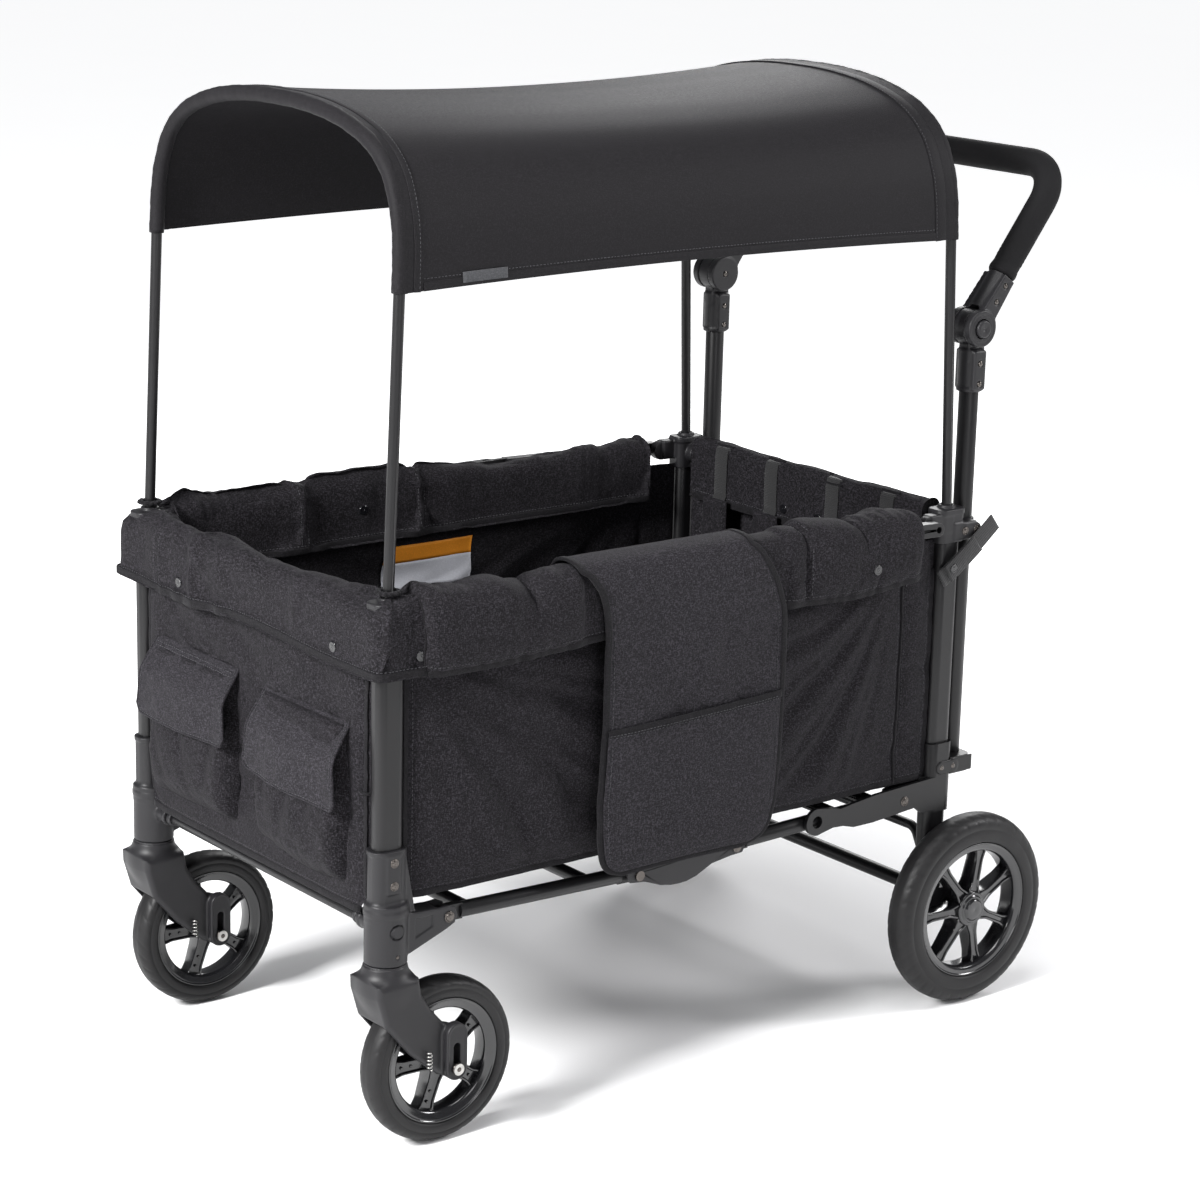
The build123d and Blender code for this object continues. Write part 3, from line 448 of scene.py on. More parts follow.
def frames(path, closed, up):
    """Tangent, side and normal at each point of a path."""
    t = np.roll(path, -1, 0) - np.roll(path, 1, 0) if closed else np.gradient(path, axis=0)
    t /= np.linalg.norm(t, axis=1, keepdims=True) + 1e-12
    side = np.cross(t[0], up)
    if np.linalg.norm(side) < 1e-3:
        side = np.cross(t[0], (1, 0, 0))
    side = side / np.linalg.norm(side)
    sides = []
    for tangent in t:
        side = side - (side @ tangent) * tangent
        side /= np.linalg.norm(side) + 1e-12
        sides.append(side.copy())
    sides = np.array(sides)
    return t, sides, np.cross(sides, t)


def resample(path, step, closed=False):
    p = np.asarray(path, float)
    if closed:
        p = np.vstack([p, p[:1]])
    d = np.r_[0, np.cumsum(np.linalg.norm(np.diff(p, axis=0), axis=1))]
    stations = np.linspace(0, d[-1], max(2, int(round(d[-1] / step)) + 1))
    out = np.stack([np.interp(stations, d, p[:, k]) for k in range(3)], 1)
    return out[:-1] if closed else out


def curve(points, step, closed=False):
    """A smooth path through control points (Catmull-Rom), evenly sampled."""
    p = np.asarray(points, float)
    n = len(p)
    out = []
    for i in range(n if closed else n - 1):
        if closed:
            a, b, c, d = p[(i - 1) % n], p[i], p[(i + 1) % n], p[(i + 2) % n]
        else:
            a, b, c, d = p[max(i - 1, 0)], p[i], p[i + 1], p[min(i + 2, n - 1)]
        for t in np.linspace(0, 1, 16, endpoint=False):
            out.append(0.5 * ((2 * b) + (-a + c) * t + (2 * a - 5 * b + 4 * c - d) * t * t
                              + (-a + 3 * b - 3 * c + d) * t ** 3))
    if not closed:
        out.append(p[-1])
    return resample(np.array(out), step, closed)


def sweep(path, profile, closed=False, up=(0, 0, 1), normals=None, scale=None):
    """Sweeps a closed profile (m, 2) [side, normal] along a path; normals is one normal
    or one per point."""
    p = np.asarray(path, float)
    t, s, n = frames(p, closed, up)
    if normals is not None:
        n = np.asarray(normals, float)
        n = n - (n * t).sum(1, keepdims=True) * t
        n /= np.linalg.norm(n, axis=1, keepdims=True)
        s = np.cross(t, n)
    profile = np.asarray(profile, float)
    size = (np.ones(len(p)) if scale is None else scale)[:, None, None]
    verts = (p[:, None, :] + s[:, None, :] * profile[None, :, 0:1] * size
             + n[:, None, :] * profile[None, :, 1:2] * size)
    m = len(profile)
    faces = [tuple(q) for q in grid(len(p), m, closed, True)]
    if not closed:
        faces.append(tuple(range(m))[::-1])
        faces.append(tuple((len(p) - 1) * m + i for i in range(m)))
    return verts.reshape(-1, 3), faces


def circle(r, n, ry=None):
    a = np.linspace(0, 2 * math.pi, n, endpoint=False)
    return np.stack([r * np.cos(a), (ry or r) * np.sin(a)], 1)


def round_rect(w, h, r, n=2):
    out = []
    for cx, cy, start in ((w / 2 - r, h / 2 - r, 0), (-w / 2 + r, h / 2 - r, 90),
                          (-w / 2 + r, -h / 2 + r, 180), (w / 2 - r, -h / 2 + r, 270)):
        for i in range(n + 1):
            a = math.radians(start + 90 * i / n)
            out.append((cx + r * math.cos(a), cy + r * math.sin(a)))
    return np.array(out)


class Soup:
    """Several closed shells in one mesh."""

    def __init__(self):
        self.v, self.f, self.n = [], [], 0

    def add(self, v, f):
        v = np.asarray(v, float).reshape(-1, 3)
        self.v.append(v)
        self.f += [tuple(int(i) + self.n for i in q) for q in f]
        self.n += len(v)
        return self

    def mirrored(self):
        """A copy mirrored to the other side of X = 0."""
        s = Soup()
        s.v = [v * np.array([-1, 1, 1]) for v in self.v]
        s.f = [q[::-1] for q in self.f]
        s.n = self.n
        return s

    def obj(self, name, mat):
        return fix_normals(new_obj(name, np.concatenate(self.v), self.f, mat))


def lathe(profile, n, axis="x", centre=(0, 0, 0)):
    """Turns a closed outline of (along, radius) points about X or Z."""
    profile = np.asarray(profile, float)
    a = np.linspace(0, 2 * math.pi, n, endpoint=False)
    along, r = profile[None, :, 0], profile[None, :, 1]
    c, s = np.cos(a)[:, None], np.sin(a)[:, None]
    parts = [along + 0 * c, r * c, r * s] if axis == "x" else [r * c, r * s, along + 0 * c]
    v = np.stack(parts, 2).reshape(-1, 3) + np.array(centre)
    return v, [tuple(q) for q in grid(n, len(profile), True, True)]


def both_ends(outline):
    """An (along, radius) outline followed by its mirror image."""
    return outline + [(-along, r) for along, r in outline[::-1]]


def dome(r, h, centre, sign, n=20, sink=1.0):
    """A domed head on a face that looks along sign * X."""
    steps = 7
    profile = [(-sink * sign, 0.01), (-sink * sign, r)]
    for i in range(steps + 1):
        a = math.pi / 2 * i / steps
        profile.append((sign * h * math.sin(a), max(0.01, r * math.cos(a) ** 0.6)))
    return lathe(profile, n, "x", centre)


def stitches(path, normals, gap=1.9, length=3.0, w=0.9, h=0.6):
    """Thread stitches along a path: small four-sided bars, half sunk in the cloth."""
    p = resample(path, 1.0)
    pn = np.asarray(normals, float)
    if pn.ndim == 1:
        nn = np.tile(pn, (len(p), 1))
    else:
        src, dst = np.linspace(0, 1, len(pn)), np.linspace(0, 1, len(p))
        nn = np.stack([np.interp(dst, src, pn[:, k]) for k in range(3)], 1)
    total = len(p) - 1
    v, f, i = [], [], 0
    while i + length < total:
        a, b = p[int(i)], p[min(total, int(i + length))]
        n = nn[int(i)]
        d = b - a
        span = np.linalg.norm(d)
        if span > 0.3:
            d = d / span
            n = n - (n @ d) * d
            n /= np.linalg.norm(n) + 1e-9
            s = np.cross(d, n)
            first = len(v)
            for q, size in ((a, 0.45), ((a + b) / 2, 1.0), (b, 0.45)):
                for side, up in ((-1, 0), (0, 1), (1, 0), (0, -0.6)):
                    v.append(q + n * 0.12 + s * side * w / 2 * size + n * up * h * size)
            for r0 in (first, first + 4):
                for j in range(4):
                    k = (j + 1) % 4
                    f.append((r0 + j, r0 + k, r0 + 4 + k, r0 + 4 + j))
            f.append((first + 3, first + 2, first + 1, first))
            f.append((first + 8, first + 9, first + 10, first + 11))
        i += length + gap
    return np.array(v).reshape(-1, 3), f


def apply_mods(ob):
    bpy.context.view_layer.update()
    dg = bpy.context.evaluated_depsgraph_get()
    me = bpy.data.meshes.new_from_object(ob.evaluated_get(dg), preserve_all_data_layers=True,
                                         depsgraph=dg)
    ob.modifiers.clear()
    ob.data = me
    me.polygons.foreach_set("use_smooth", [True] * len(me.polygons))


def subdivide(ob):
    m = ob.modifiers.new("subdivision", "SUBSURF")
    m.levels = m.render_levels = 1
    apply_mods(ob)


def place(ob, body, slot, *replaced, fold=False):
    """Puts a finished piece on its body; fold=True applies its modifiers and gives it its own
    mesh.
    """
    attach(ob, body)
    if replaced:
        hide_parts(*replaced)
    if fold:
        if ob.modifiers:    # the modifiers are applied here, so the mesh is final
            apply_mods(ob)
        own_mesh(ob)


def place_folding(ob, slot, *replaced):
    place(ob, "rear_frame", slot, *replaced, fold=True)


# ---------------------------------------------------------------------------
# moulded shapes from distance fields
# ---------------------------------------------------------------------------
def surface_nets(field, origin, pitch):
    """Vertices and quads of the zero surface of a field sampled on a grid."""
    inside = field < 0
    sx, sy, sz = (n - 1 for n in field.shape)
    count = np.zeros((sx, sy, sz), np.int8)
    corners = [(i, j, k) for i in (0, 1) for j in (0, 1) for k in (0, 1)]
    for i, j, k in corners:
        count += inside[i:sx + i, j:sy + j, k:sz + k]
    active = (count > 0) & (count < 8)
    index = -np.ones(active.shape, np.int64)
    cells = np.argwhere(active)
    index[active] = np.arange(len(cells))
    total = np.zeros((len(cells), 3))
    crossings = np.zeros(len(cells))
    for a in corners:
        for axis in range(3):
            if a[axis] == 0:
                b = list(a)
                b[axis] = 1
                fa = field[cells[:, 0] + a[0], cells[:, 1] + a[1], cells[:, 2] + a[2]]
                fb = field[cells[:, 0] + b[0], cells[:, 1] + b[1], cells[:, 2] + b[2]]
                m = (fa < 0) != (fb < 0)
                q = np.tile(np.array(a, float), (int(m.sum()), 1))
                q[:, axis] += fa[m] / (fa[m] - fb[m])
                total[m] += q
                crossings[m] += 1
    verts = (cells + total / crossings[:, None]) * pitch + np.array(origin)
    faces = []
    for axis in range(3):
        low, high = [slice(1, -1)] * 3, [slice(1, -1)] * 3
        low[axis], high[axis] = slice(None, -1), slice(1, None)
        s0, s1 = inside[tuple(low)], inside[tuple(high)]
        edges = np.argwhere(s0 != s1)
        around = []
        for step_b, step_c in ((-1, -1), (0, -1), (0, 0), (-1, 0)):
            cell = edges + 1
            cell[:, axis] -= 1
            cell[:, (axis + 1) % 3] += step_b
            cell[:, (axis + 2) % 3] += step_c
            around.append(index[cell[:, 0], cell[:, 1], cell[:, 2]])
        quads = np.stack(around, 1)
        flip = ~s0[edges[:, 0], edges[:, 1], edges[:, 2]]
        quads[flip] = quads[flip][:, ::-1]
        faces.append(quads)
    return verts, np.concatenate(faces)


def rounded(p, q, r):
    """Distance to where both p and q are negative, with its corner rounded by r."""
    p, q = p + r, q + r
    return (np.sqrt(np.maximum(p, 0) ** 2 + np.maximum(q, 0) ** 2)
            + np.minimum(np.maximum(p, q), 0) - r)


class Field:
    """A distance field on a grid in mm, combined with unions and cuts that blend over k."""

    def __init__(self, lo, hi):
        self.lo = np.array(lo, float)
        n = [int(math.ceil((b - a) / VOXEL)) + 1 for a, b in zip(lo, hi)]
        self.x = (lo[0] + np.arange(n[0]) * VOXEL)[:, None, None]
        self.y = (lo[1] + np.arange(n[1]) * VOXEL)[None, :, None]
        self.z = (lo[2] + np.arange(n[2]) * VOXEL)[None, None, :]
        self.d = np.full(n, 1e3)

    def union(self, d, k=0.0):
        if k <= 0:
            self.d = np.minimum(self.d, d)
        else:
            m = np.clip(0.5 + 0.5 * (d - self.d) / k, 0, 1)
            self.d = d * (1 - m) + self.d * m - k * m * (1 - m)

    def cut(self, d, k=0.0):
        g = -d
        if k <= 0:
            self.d = np.maximum(self.d, g)
        else:
            m = np.clip(0.5 - 0.5 * (g - self.d) / k, 0, 1)
            self.d = g * (1 - m) + self.d * m + k * m * (1 - m)

    def box(self, c, half, r=0.0):
        qx = np.abs(self.x - c[0]) - half[0] + r
        qy = np.abs(self.y - c[1]) - half[1] + r
        qz = np.abs(self.z - c[2]) - half[2] + r
        out = np.sqrt(np.maximum(qx, 0) ** 2 + np.maximum(qy, 0) ** 2 + np.maximum(qz, 0) ** 2)
        return out + np.minimum(np.maximum(qx, np.maximum(qy, qz)), 0) - r

    def polar(self, axis, c):
        """Distance from a line along axis through c, and along it from c."""
        i = "xyz".index(axis)
        a, b = [k for k in (0, 1, 2) if k != i]
        g = [self.x, self.y, self.z]
        return np.sqrt((g[a] - c[a]) ** 2 + (g[b] - c[b]) ** 2), np.abs(g[i] - c[i])

    def cyl(self, axis, c, r, half, rounding=0.0):
        radial, along = self.polar(axis, c)
        return rounded(radial - r, along - half, rounding)

    def disc(self, axis, c, r, half):
        """A sharp-edged disc."""
        radial, along = self.polar(axis, c)
        return np.maximum(radial - r, along - half)

    def ring(self, axis, c, r, half_width, half):
        radial, along = self.polar(axis, c)
        return np.maximum(np.abs(radial - r) - half_width, along - half)

    def ellipsoid(self, c, r):
        q = np.sqrt(((self.x - c[0]) / r[0]) ** 2 + ((self.y - c[1]) / r[1]) ** 2
                    + ((self.z - c[2]) / r[2]) ** 2)
        return (q - 1) * min(r)

    def column(self, c, width, depth, r, half):
        """An upright bar with a rounded rectangular section."""
        plan = rounded(np.abs(self.x - c[0]) - width / 2, np.abs(self.y - c[1]) - depth / 2, r)
        return np.maximum(plan, np.abs(self.z - c[2]) - half)

    def plate(self, outline, x0, x1, rounding=0.0):
        """A plate with a (y, z) outline between two X planes."""
        y, z = np.broadcast_arrays(self.y[0], self.z[0])
        d = np.full(y.shape, 1e9)
        s = np.ones(y.shape)
        p = np.asarray(outline, float)
        for i in range(len(p)):
            a, b = p[i], p[i - 1]
            e = b - a
            wy, wz = y - a[0], z - a[1]
            t = np.clip((wy * e[0] + wz * e[1]) / (e @ e), 0, 1)
            d = np.minimum(d, (wy - e[0] * t) ** 2 + (wz - e[1] * t) ** 2)
            c1, c2, c3 = z >= a[1], z < b[1], e[0] * wz > e[1] * wy
            s = np.where((c1 & c2 & c3) | (~c1 & ~c2 & ~c3), -s, s)
        return rounded((s * np.sqrt(d))[None],
                       np.abs(self.x - (x0 + x1) / 2) - (x1 - x0) / 2, rounding)

    def soup(self):
        return Soup().add(*surface_nets(self.d, self.lo, VOXEL))


# ---------------------------------------------------------------------------
# wheels, built about X = 0 and moved to their axles
# ---------------------------------------------------------------------------
def tyre_mesh(r0, r1, width, sipes, depth):
    """A tyre from rim radius r0 to tread radius r1, with slanted grooves (sipes)."""
    h = width / 2
    per_sipe = 10
    side = [(-h + 3.0, r0 - 0.2), (-h + 0.8, r0 + 1.0), (-h, r0 + 4.5),
            (-h, r0 + (r1 - r0) * 0.30), (-h + 0.5, r0 + (r1 - r0) * 0.44),
            (-h + 1.1, r0 + (r1 - r0) * 0.47), (-h + 0.7, r0 + (r1 - r0) * 0.50)]
    arc = []
    arc_points = 17
    for i in range(arc_points):
        a = math.pi * (i + 0.5) / arc_points
        arc.append((-(h - 0.4) * math.cos(a),
                    r1 - (r1 - r0) * 0.46 * (1 - math.sin(a) ** 0.80)))
    profile = side + arc + [(-x, r) for x, r in side[::-1]] + [(h - 6, r0 - 0.2),
                                                              (-h + 6, r0 - 0.2)]
    n = sipes * per_sipe
    v, f = lathe(profile, n)
    v = v.reshape(n, len(profile), 3)
    turn = np.arange(n)[:, None] / n * sipes
    x = v[:, :, 0]
    radius = np.hypot(v[:, :, 1], v[:, :, 2])
    off_centre = np.abs(x) / h
    slant = turn + 1.15 * off_centre * np.sign(x) * 0.9 + 0.5 * (x > 0)
    phase = slant - np.floor(slant)
    groove = np.clip(1 - np.abs(phase - 0.5) * per_sipe / 1.25, 0, 1)
    tread = radius > r0 + (r1 - r0) * 0.55
    zone = smooth(off_centre, 0.28, 0.42) * (1 - smooth(off_centre, 0.93, 0.99)) * tread
    centre_line = np.exp(-(x / (0.10 * h)) ** 2) * 0.55
    shrink = 1 - depth * np.maximum(groove * zone, centre_line * tread) / radius
    v[:, :, 1] *= shrink
    v[:, :, 2] *= shrink
    return v.reshape(-1, 3), f


def spoke(r_in, r_out, w_in, w_mid, w_out, x_in, x_out, rail, channel, n):
    """A spoke standing along +Z, with raised rails and a channel on both faces."""
    v = []
    for i in range(n):
        t = i / (n - 1)
        w = (w_mid + (w_in - w_mid) * (1 - smooth(t, 0, 0.30))
             + (w_out - w_mid) * smooth(t, 0.72, 1.0))
        x = x_in + (x_out - x_in) * t
        a = w / 2
        b = a - rail
        face = [(-a, x - 2.4), (-a + 0.5, x - 0.4), (-a + 0.9, x), (-b - 0.4, x),
                (-b + 0.5, x - channel), (b - 0.5, x - channel), (b + 0.4, x), (a - 0.9, x),
                (a - 0.5, x - 0.4), (a, x - 2.4)]
        profile = face + [(across, -depth) for across, depth in face[::-1]]
        v += [(depth, across, r_in + (r_out - r_in) * t) for across, depth in profile]
    m = len(profile)
    f = [tuple(q) for q in grid(n, m, False, True)]
    f += [tuple(range(m))[::-1], tuple((n - 1) * m + j for j in range(m))]
    return np.array(v, float), f


def turn_x(v, degrees):
    c, s = math.cos(math.radians(degrees)), math.sin(math.radians(degrees))
    out = v.copy()
    out[:, 1] = v[:, 1] * c - v[:, 2] * s
    out[:, 2] = v[:, 1] * s + v[:, 2] * c
    return out


def front_rim():
    s = Soup()
    h = 15.6
    lip = [(-h + 1.2, 76.9), (-h, 76.2), (-h, 74.6), (-h + 1.0, 73.6), (-h + 1.4, 70.8),
           (-h + 2.3, 69.6), (-h + 2.8, 66.0), (-h + 4.6, 63.6), (-h + 7.0, 62.6)]
    s.add(*lathe(both_ends(lip), 96))
    for i in range(5):
        v, f = spoke(r_in=13, r_out=65, w_in=21, w_mid=17.5, w_out=23, x_in=11.5, x_out=8.6,
                     rail=2.8, channel=3.2, n=14)
        s.add(turn_x(v, 72 * i + 90), f)
        for face in (-1, 1):
            for r in (40.0, 53.0):
                boss, f = lathe([(-0.7, 0.01), (-0.7, 2.1), (0.7, 1.7), (0.7, 0.01)], 12)
                s.add(turn_x(boss + np.array([face * 7.4, 0, r]), 72 * i + 90), f)
    hub = [(-21, 5.0), (-21, 9.2), (-20, 10.2), (-13.5, 11.0), (-13, 15.2), (-12, 16.2)]
    s.add(*lathe(both_ends(hub), 40))
    return s


def rear_rim():
    s = Soup()
    h = 17.2
    lip = [(-h + 1.5, 90.9), (-h, 90.0), (-h, 88.6), (-h + 1.2, 87.4), (-h + 1.6, 83.4),
           (-h + 2.8, 80.2), (-h + 5.5, 78.4), (-h + 9.0, 77.6)]
    s.add(*lathe(both_ends(lip), 112))
    for i in range(7):
        v, f = spoke(r_in=20, r_out=80, w_in=20, w_mid=12.5, w_out=18, x_in=12.5, x_out=9.0,
                     rail=3.4, channel=2.4, n=16)
        s.add(turn_x(v, 360 / 7 * i + 90), f)
    inner = [(-17, 0.01), (-17, 10.5), (-16, 12.0), (-12, 12.6), (-11.5, 20.0), (-10.4, 22.4),
             (-6, 23.4)]
    outer = [(2, 23.4), (13.2, 23.2), (14.6, 22.2), (14.9, 20.6), (14.6, 19.4), (15.2, 18.4),
             (16.6, 17.4), (16.9, 15.6), (16.2, 14.6), (18.6, 13.6), (19.6, 12.4), (19.9, 9.0),
             (20.0, 0.01)]
    s.add(*lathe(inner + outer, 48))
    return s


def rim_bevel(ob):
    m = ob.modifiers.new("bevel", "BEVEL")
    m.width = 0.45 / 1000
    m.segments = 2
    m.limit_method = "ANGLE"
    m.angle_limit = math.radians(32)


def wheels():
    front_tyre = tyre_mesh(r0=77.0, r1=100.0, width=36.0, sipes=34, depth=1.3)
    rear_tyre = tyre_mesh(r0=91.0, r1=127.0, width=40.0, sipes=40, depth=1.6)
    for side, sx in SIDES:
        for kind, rim, tyre, axle in (("front", front_rim(), front_tyre, FRONT_AXLE),
                                      ("rear", rear_rim(), rear_tyre, REAR_AXLE)):
            rim.v = [v + np.array(axle) for v in rim.v]
            rubber = Soup().add(tyre[0] + np.array(axle), tyre[1])
            if sx < 0:
                rim, rubber = rim.mirrored(), rubber.mirrored()
            ob = rim.obj(f"{kind}_wheel_rim_{side}", "gloss")
            rim_bevel(ob)
            place(ob, f"{kind}_wheel_{side}", "rim_plastic", f"{kind}_rim_{side}")
            place(rubber.obj(f"{kind}_wheel_tyre_{side}", "tyre"), f"{kind}_wheel_{side}",
                  "tyre_rubber", f"{kind}_tyre_{side}")


wheels()


# ---------------------------------------------------------------------------
# moulded brackets, forks and joints: fields are shaped on the left, then mirrored
# ---------------------------------------------------------------------------
def place_pair(name, form, body, *nodes, mat="plastic", slot="black_plastic"):
    """Places a left shape and its mirror; {} in body and nodes stands for the side."""
    left = form.soup()
    for side, soup in (("left", left), ("right", left.mirrored())):
        place(soup.obj(f"{name}_{side}", mat), body.format(side), slot,
              *(node.format(side) for node in nodes))


def caster_fork():
    """A hood that swells forward, two blades, and a long boss with a slot on each."""
    axle_y = FRONT_AXLE[1]
    form = Field((208, -504, 80), (312, -374, 236))

    def upright_slot(z, half):
        """Distance from an upright line through the axle's Y."""
        return np.sqrt((form.y - axle_y) ** 2
                       + np.maximum(np.abs(form.z - z) - half, 0) ** 2)

    form.union(form.cyl("z", (POST_X, FRONT_POST_Y, 219), 25.0, 14.8, 1.0))
    form.union(form.ellipsoid((POST_X, -469.5, 207), (30.5, 29.5, 31)), 9)
    # blade outline, (y, z)
    blade = [(-497, 216), (-496.5, 200), (-486, 165), (-452, 124), (-414, 92), (-402, 86.5),
             (-391, 87), (-384, 100), (-384, 136), (-392, 150), (-407, 156), (-424, 175),
             (-437, 196), (-441, 218)]
    form.union(form.plate(blade, POST_X - 33, POST_X + 33, 7.0), 10)
    form.cut(form.box((POST_X, FRONT_POST_Y, 250), (60, 60, 16.2)))
    for face in (-1, 1):
        boss = upright_slot(120.5, 20.5)
        form.union(rounded(boss - 14.5, np.abs(form.x - (POST_X + face * 37.5)) - 6.5, 2.2), 2.5)
        form.cut(np.maximum(boss - 11.8, np.abs(form.x - (POST_X + face * 44.9)) - 1.9), 0.8)
    for z in (FRONT_AXLE[2], FRONT_AXLE[2] + 8):
        form.cut(form.cyl("x", (POST_X, axle_y, z), 104.0, 23.0, 1.0), 3)
    form.cut(form.box((POST_X, -425, 110), (23, 62, 46), 2), 3)
    form.cut(np.maximum(upright_slot(113.5, 13.5) - 4.6, np.abs(form.x - POST_X) - 60), 0.8)
    form.cut(form.ring("z", (POST_X, FRONT_POST_Y, 232.2), 25.6, 1.2, 0.7), 0.6)
    place_pair("caster_fork_shell", form, "caster_{}", "caster_fork_{}")


def axle_bolt_heads():
    for side, sx in SIDES:
        s = Soup()
        for face in (-1, 1):
            x0 = sx * POST_X + face * 44.0
            s.add(*dome(7.4, 2.4, (x0 + face * 1.0, *FRONT_AXLE[1:]), face, n=24, sink=1.4))
            s.add(*dome(3.2, 1.1, (x0 + face * 3.0, *FRONT_AXLE[1:]), face, n=16, sink=0.8))
        place(s.obj(f"axle_bolt_heads_{side}", "bronze"), f"front_axle_{side}", "bright_steel")


def front_lower_bracket():
    y = FRONT_POST_Y
    form = Field((212, -512, 232), (290, -372, 374))
    form.union(form.column((POST_X, y, 330), 31, 43, 13, 40))
    form.union(form.column((POST_X, y, 367), 33.4, 45.4, 14, 2.6), 1.5)
    form.union(form.cyl("z", (POST_X, y, 270), 25.0, 35.8, 1.2), 7)
    form.union(form.cyl("z", (POST_X, y, 296), 25.8, 3.0, 1.5), 3)
    # arm that reaches back, its upright gusset and a shallow pocket, as (y, z) outlines
    arm = [(-462, 298), (-440, 291), (-405, 289), (-390, 289.5), (-380.5, 285), (-377.5, 276),
           (-381, 267), (-392, 261.5), (-443, 242.5), (-462, 242.5)]
    gusset = [(-462, 365), (-447, 365), (-435, 300), (-432, 285), (-462, 285)]
    pocket = [(-437, 283), (-412, 283), (-412, 269), (-437, 259)]
    form.union(form.plate(arm, 245, 275, 2.0), 3)
    form.union(form.plate(gusset, 250, 270, 2.0), 4)
    form.cut(form.plate(pocket, 273.6, 290, 0.8), 0.6)
    form.cut(form.box((POST_X, -381, 275), (10.4, 23, 25), 0.5), 0.8)
    form.union(form.cyl("x", (230, y, 273.4), 11.2, 14, 1.2), 3)
    form.union(form.cyl("x", (218, y, 273.4), 12.2, 3, 1.0), 1)
    form.union(form.box((274, y, 343), (3.2, 9.5, 24), 2.2), 3)
    form.cut(form.ring("x", (288, y, 276), 8.4, 0.8, 6), 0.4)
    form.cut(form.cyl("x", (288, y, 246), 2.6, 4.4), 0.6)
    form.cut(form.cyl("x", (288, y, 276), 7.6, 4.2), 0.6)
    place_pair("front_bracket_shell", form, "front_frame", "front_brackets")


def top_bracket(tag, y, inward):
    """Under the padded rim, with the collar of the canopy pole; inward is the way along Y
    to the wagon's middle."""
    rail_y = y + 40 * inward
    form = Field((228, y - 50 if tag == "front" else y - 60, 608), (284, y + 60, 668))
    form.union(form.column((POST_X, y, 637), 29, 43, 9, 21.5))
    form.union(form.column((POST_X, y, 654.5), 31, 45, 10, 3.2), 1.5)
    form.union(form.cyl("z", (POST_X, y, 657), 11.2, 6.0, 1.6), 2)
    form.union(form.box((266, (y + rail_y) / 2, 641), (8.2, 20, 13.2), 2), 2)
    form.union(form.cyl("x", (268, rail_y, 640), 13.0, 6.0, 1.2), 2)
    form.union(form.cyl("x", (241, y, 636), 12.0, 7.0, 1.2), 2)
    if tag == "rear":
        # socket of the upright, and the outer boss that carries two rivets
        form.union(form.cyl("z", (UPRIGHT_X, 423, 628.5), 15.2, 11.6, 1.0), 1)
        form.union(form.box((263, 405, 628.5), (13.2, 20, 11.6), 2), 2)
        form.union(form.cyl("x", (274.6, 404, 629), 8.6, 1.8, 0.8), 1)
        form.union(form.cyl("x", (274.6, 424, 629), 8.6, 1.8, 0.8), 1)
        form.union(form.box((275.2, 414, 629), (1.8, 10, 8.6), 0.8), 1)
    form.cut(form.cyl("z", (POST_X, y, 665), 7.4, 6.0), 0.6)
    place_pair(f"{tag}_top_bracket_shell", form, f"{tag}_frame", f"{tag}_top_brackets")


def rear_foot():
    """The foot of the rear post, round the rear axle."""
    form = Field((240, 360, 100), (280, 442, 156))
    outline = [(368, 149), (403, 149), (432, 141), (438, 127), (434, 114), (421, 107.5),
               (382, 112), (368, 122)]
    form.union(form.plate(outline, 248, 272, 3))
    form.union(form.cyl("x", (POST_X, *REAR_AXLE[1:]), 17.5, 14.0, 1.4), 2)
    form.cut(form.ring("x", (275, *REAR_AXLE[1:]), 14.2, 0.7, 2.2), 0.4)
    place_pair("rear_foot_shell", form, "rear_frame", "rear_feet")


SCREW_Y = 424                       # screws of the handle base
SCREW_Z = (831 - 17, 831 + 9)
HUB_SCREWS = (40, 64)               # distances from the hinge along the handle


def along_handle(a):
    return HINGE_Y + a * HANDLE_COS, HINGE_Z + a * HANDLE_SIN


def handle_base():
    form = Field((226, 392, 800), (276, 450, 912))
    form.union(form.cyl("z", (UPRIGHT_X, 423, 831), 15.6, 27.0, 2.0))
    form.union(form.cyl("z", (UPRIGHT_X, 423, 806.5), 16.3, 3.0, 1.2), 1)
    form.union(form.box((UPRIGHT_X, 424, 862), (9.4, 14.5, 20), 3), 3)
    form.union(form.cyl("x", (UPRIGHT_X, HINGE_Y, HINGE_Z), 22.6, 9.6, 0.8), 2)
    for x in (262, 238):
        form.union(form.box((x, 424, 831), (5.6, 10.6, 25.5), 3.0), 2.5)
    for z in SCREW_Z:
        for x in (269, 231):
            form.cut(form.cyl("x", (x, SCREW_Y, z), 4.1, 2.4), 0.5)
    place_pair("handle_base_shell", form, "rear_frame", "handle_bases")


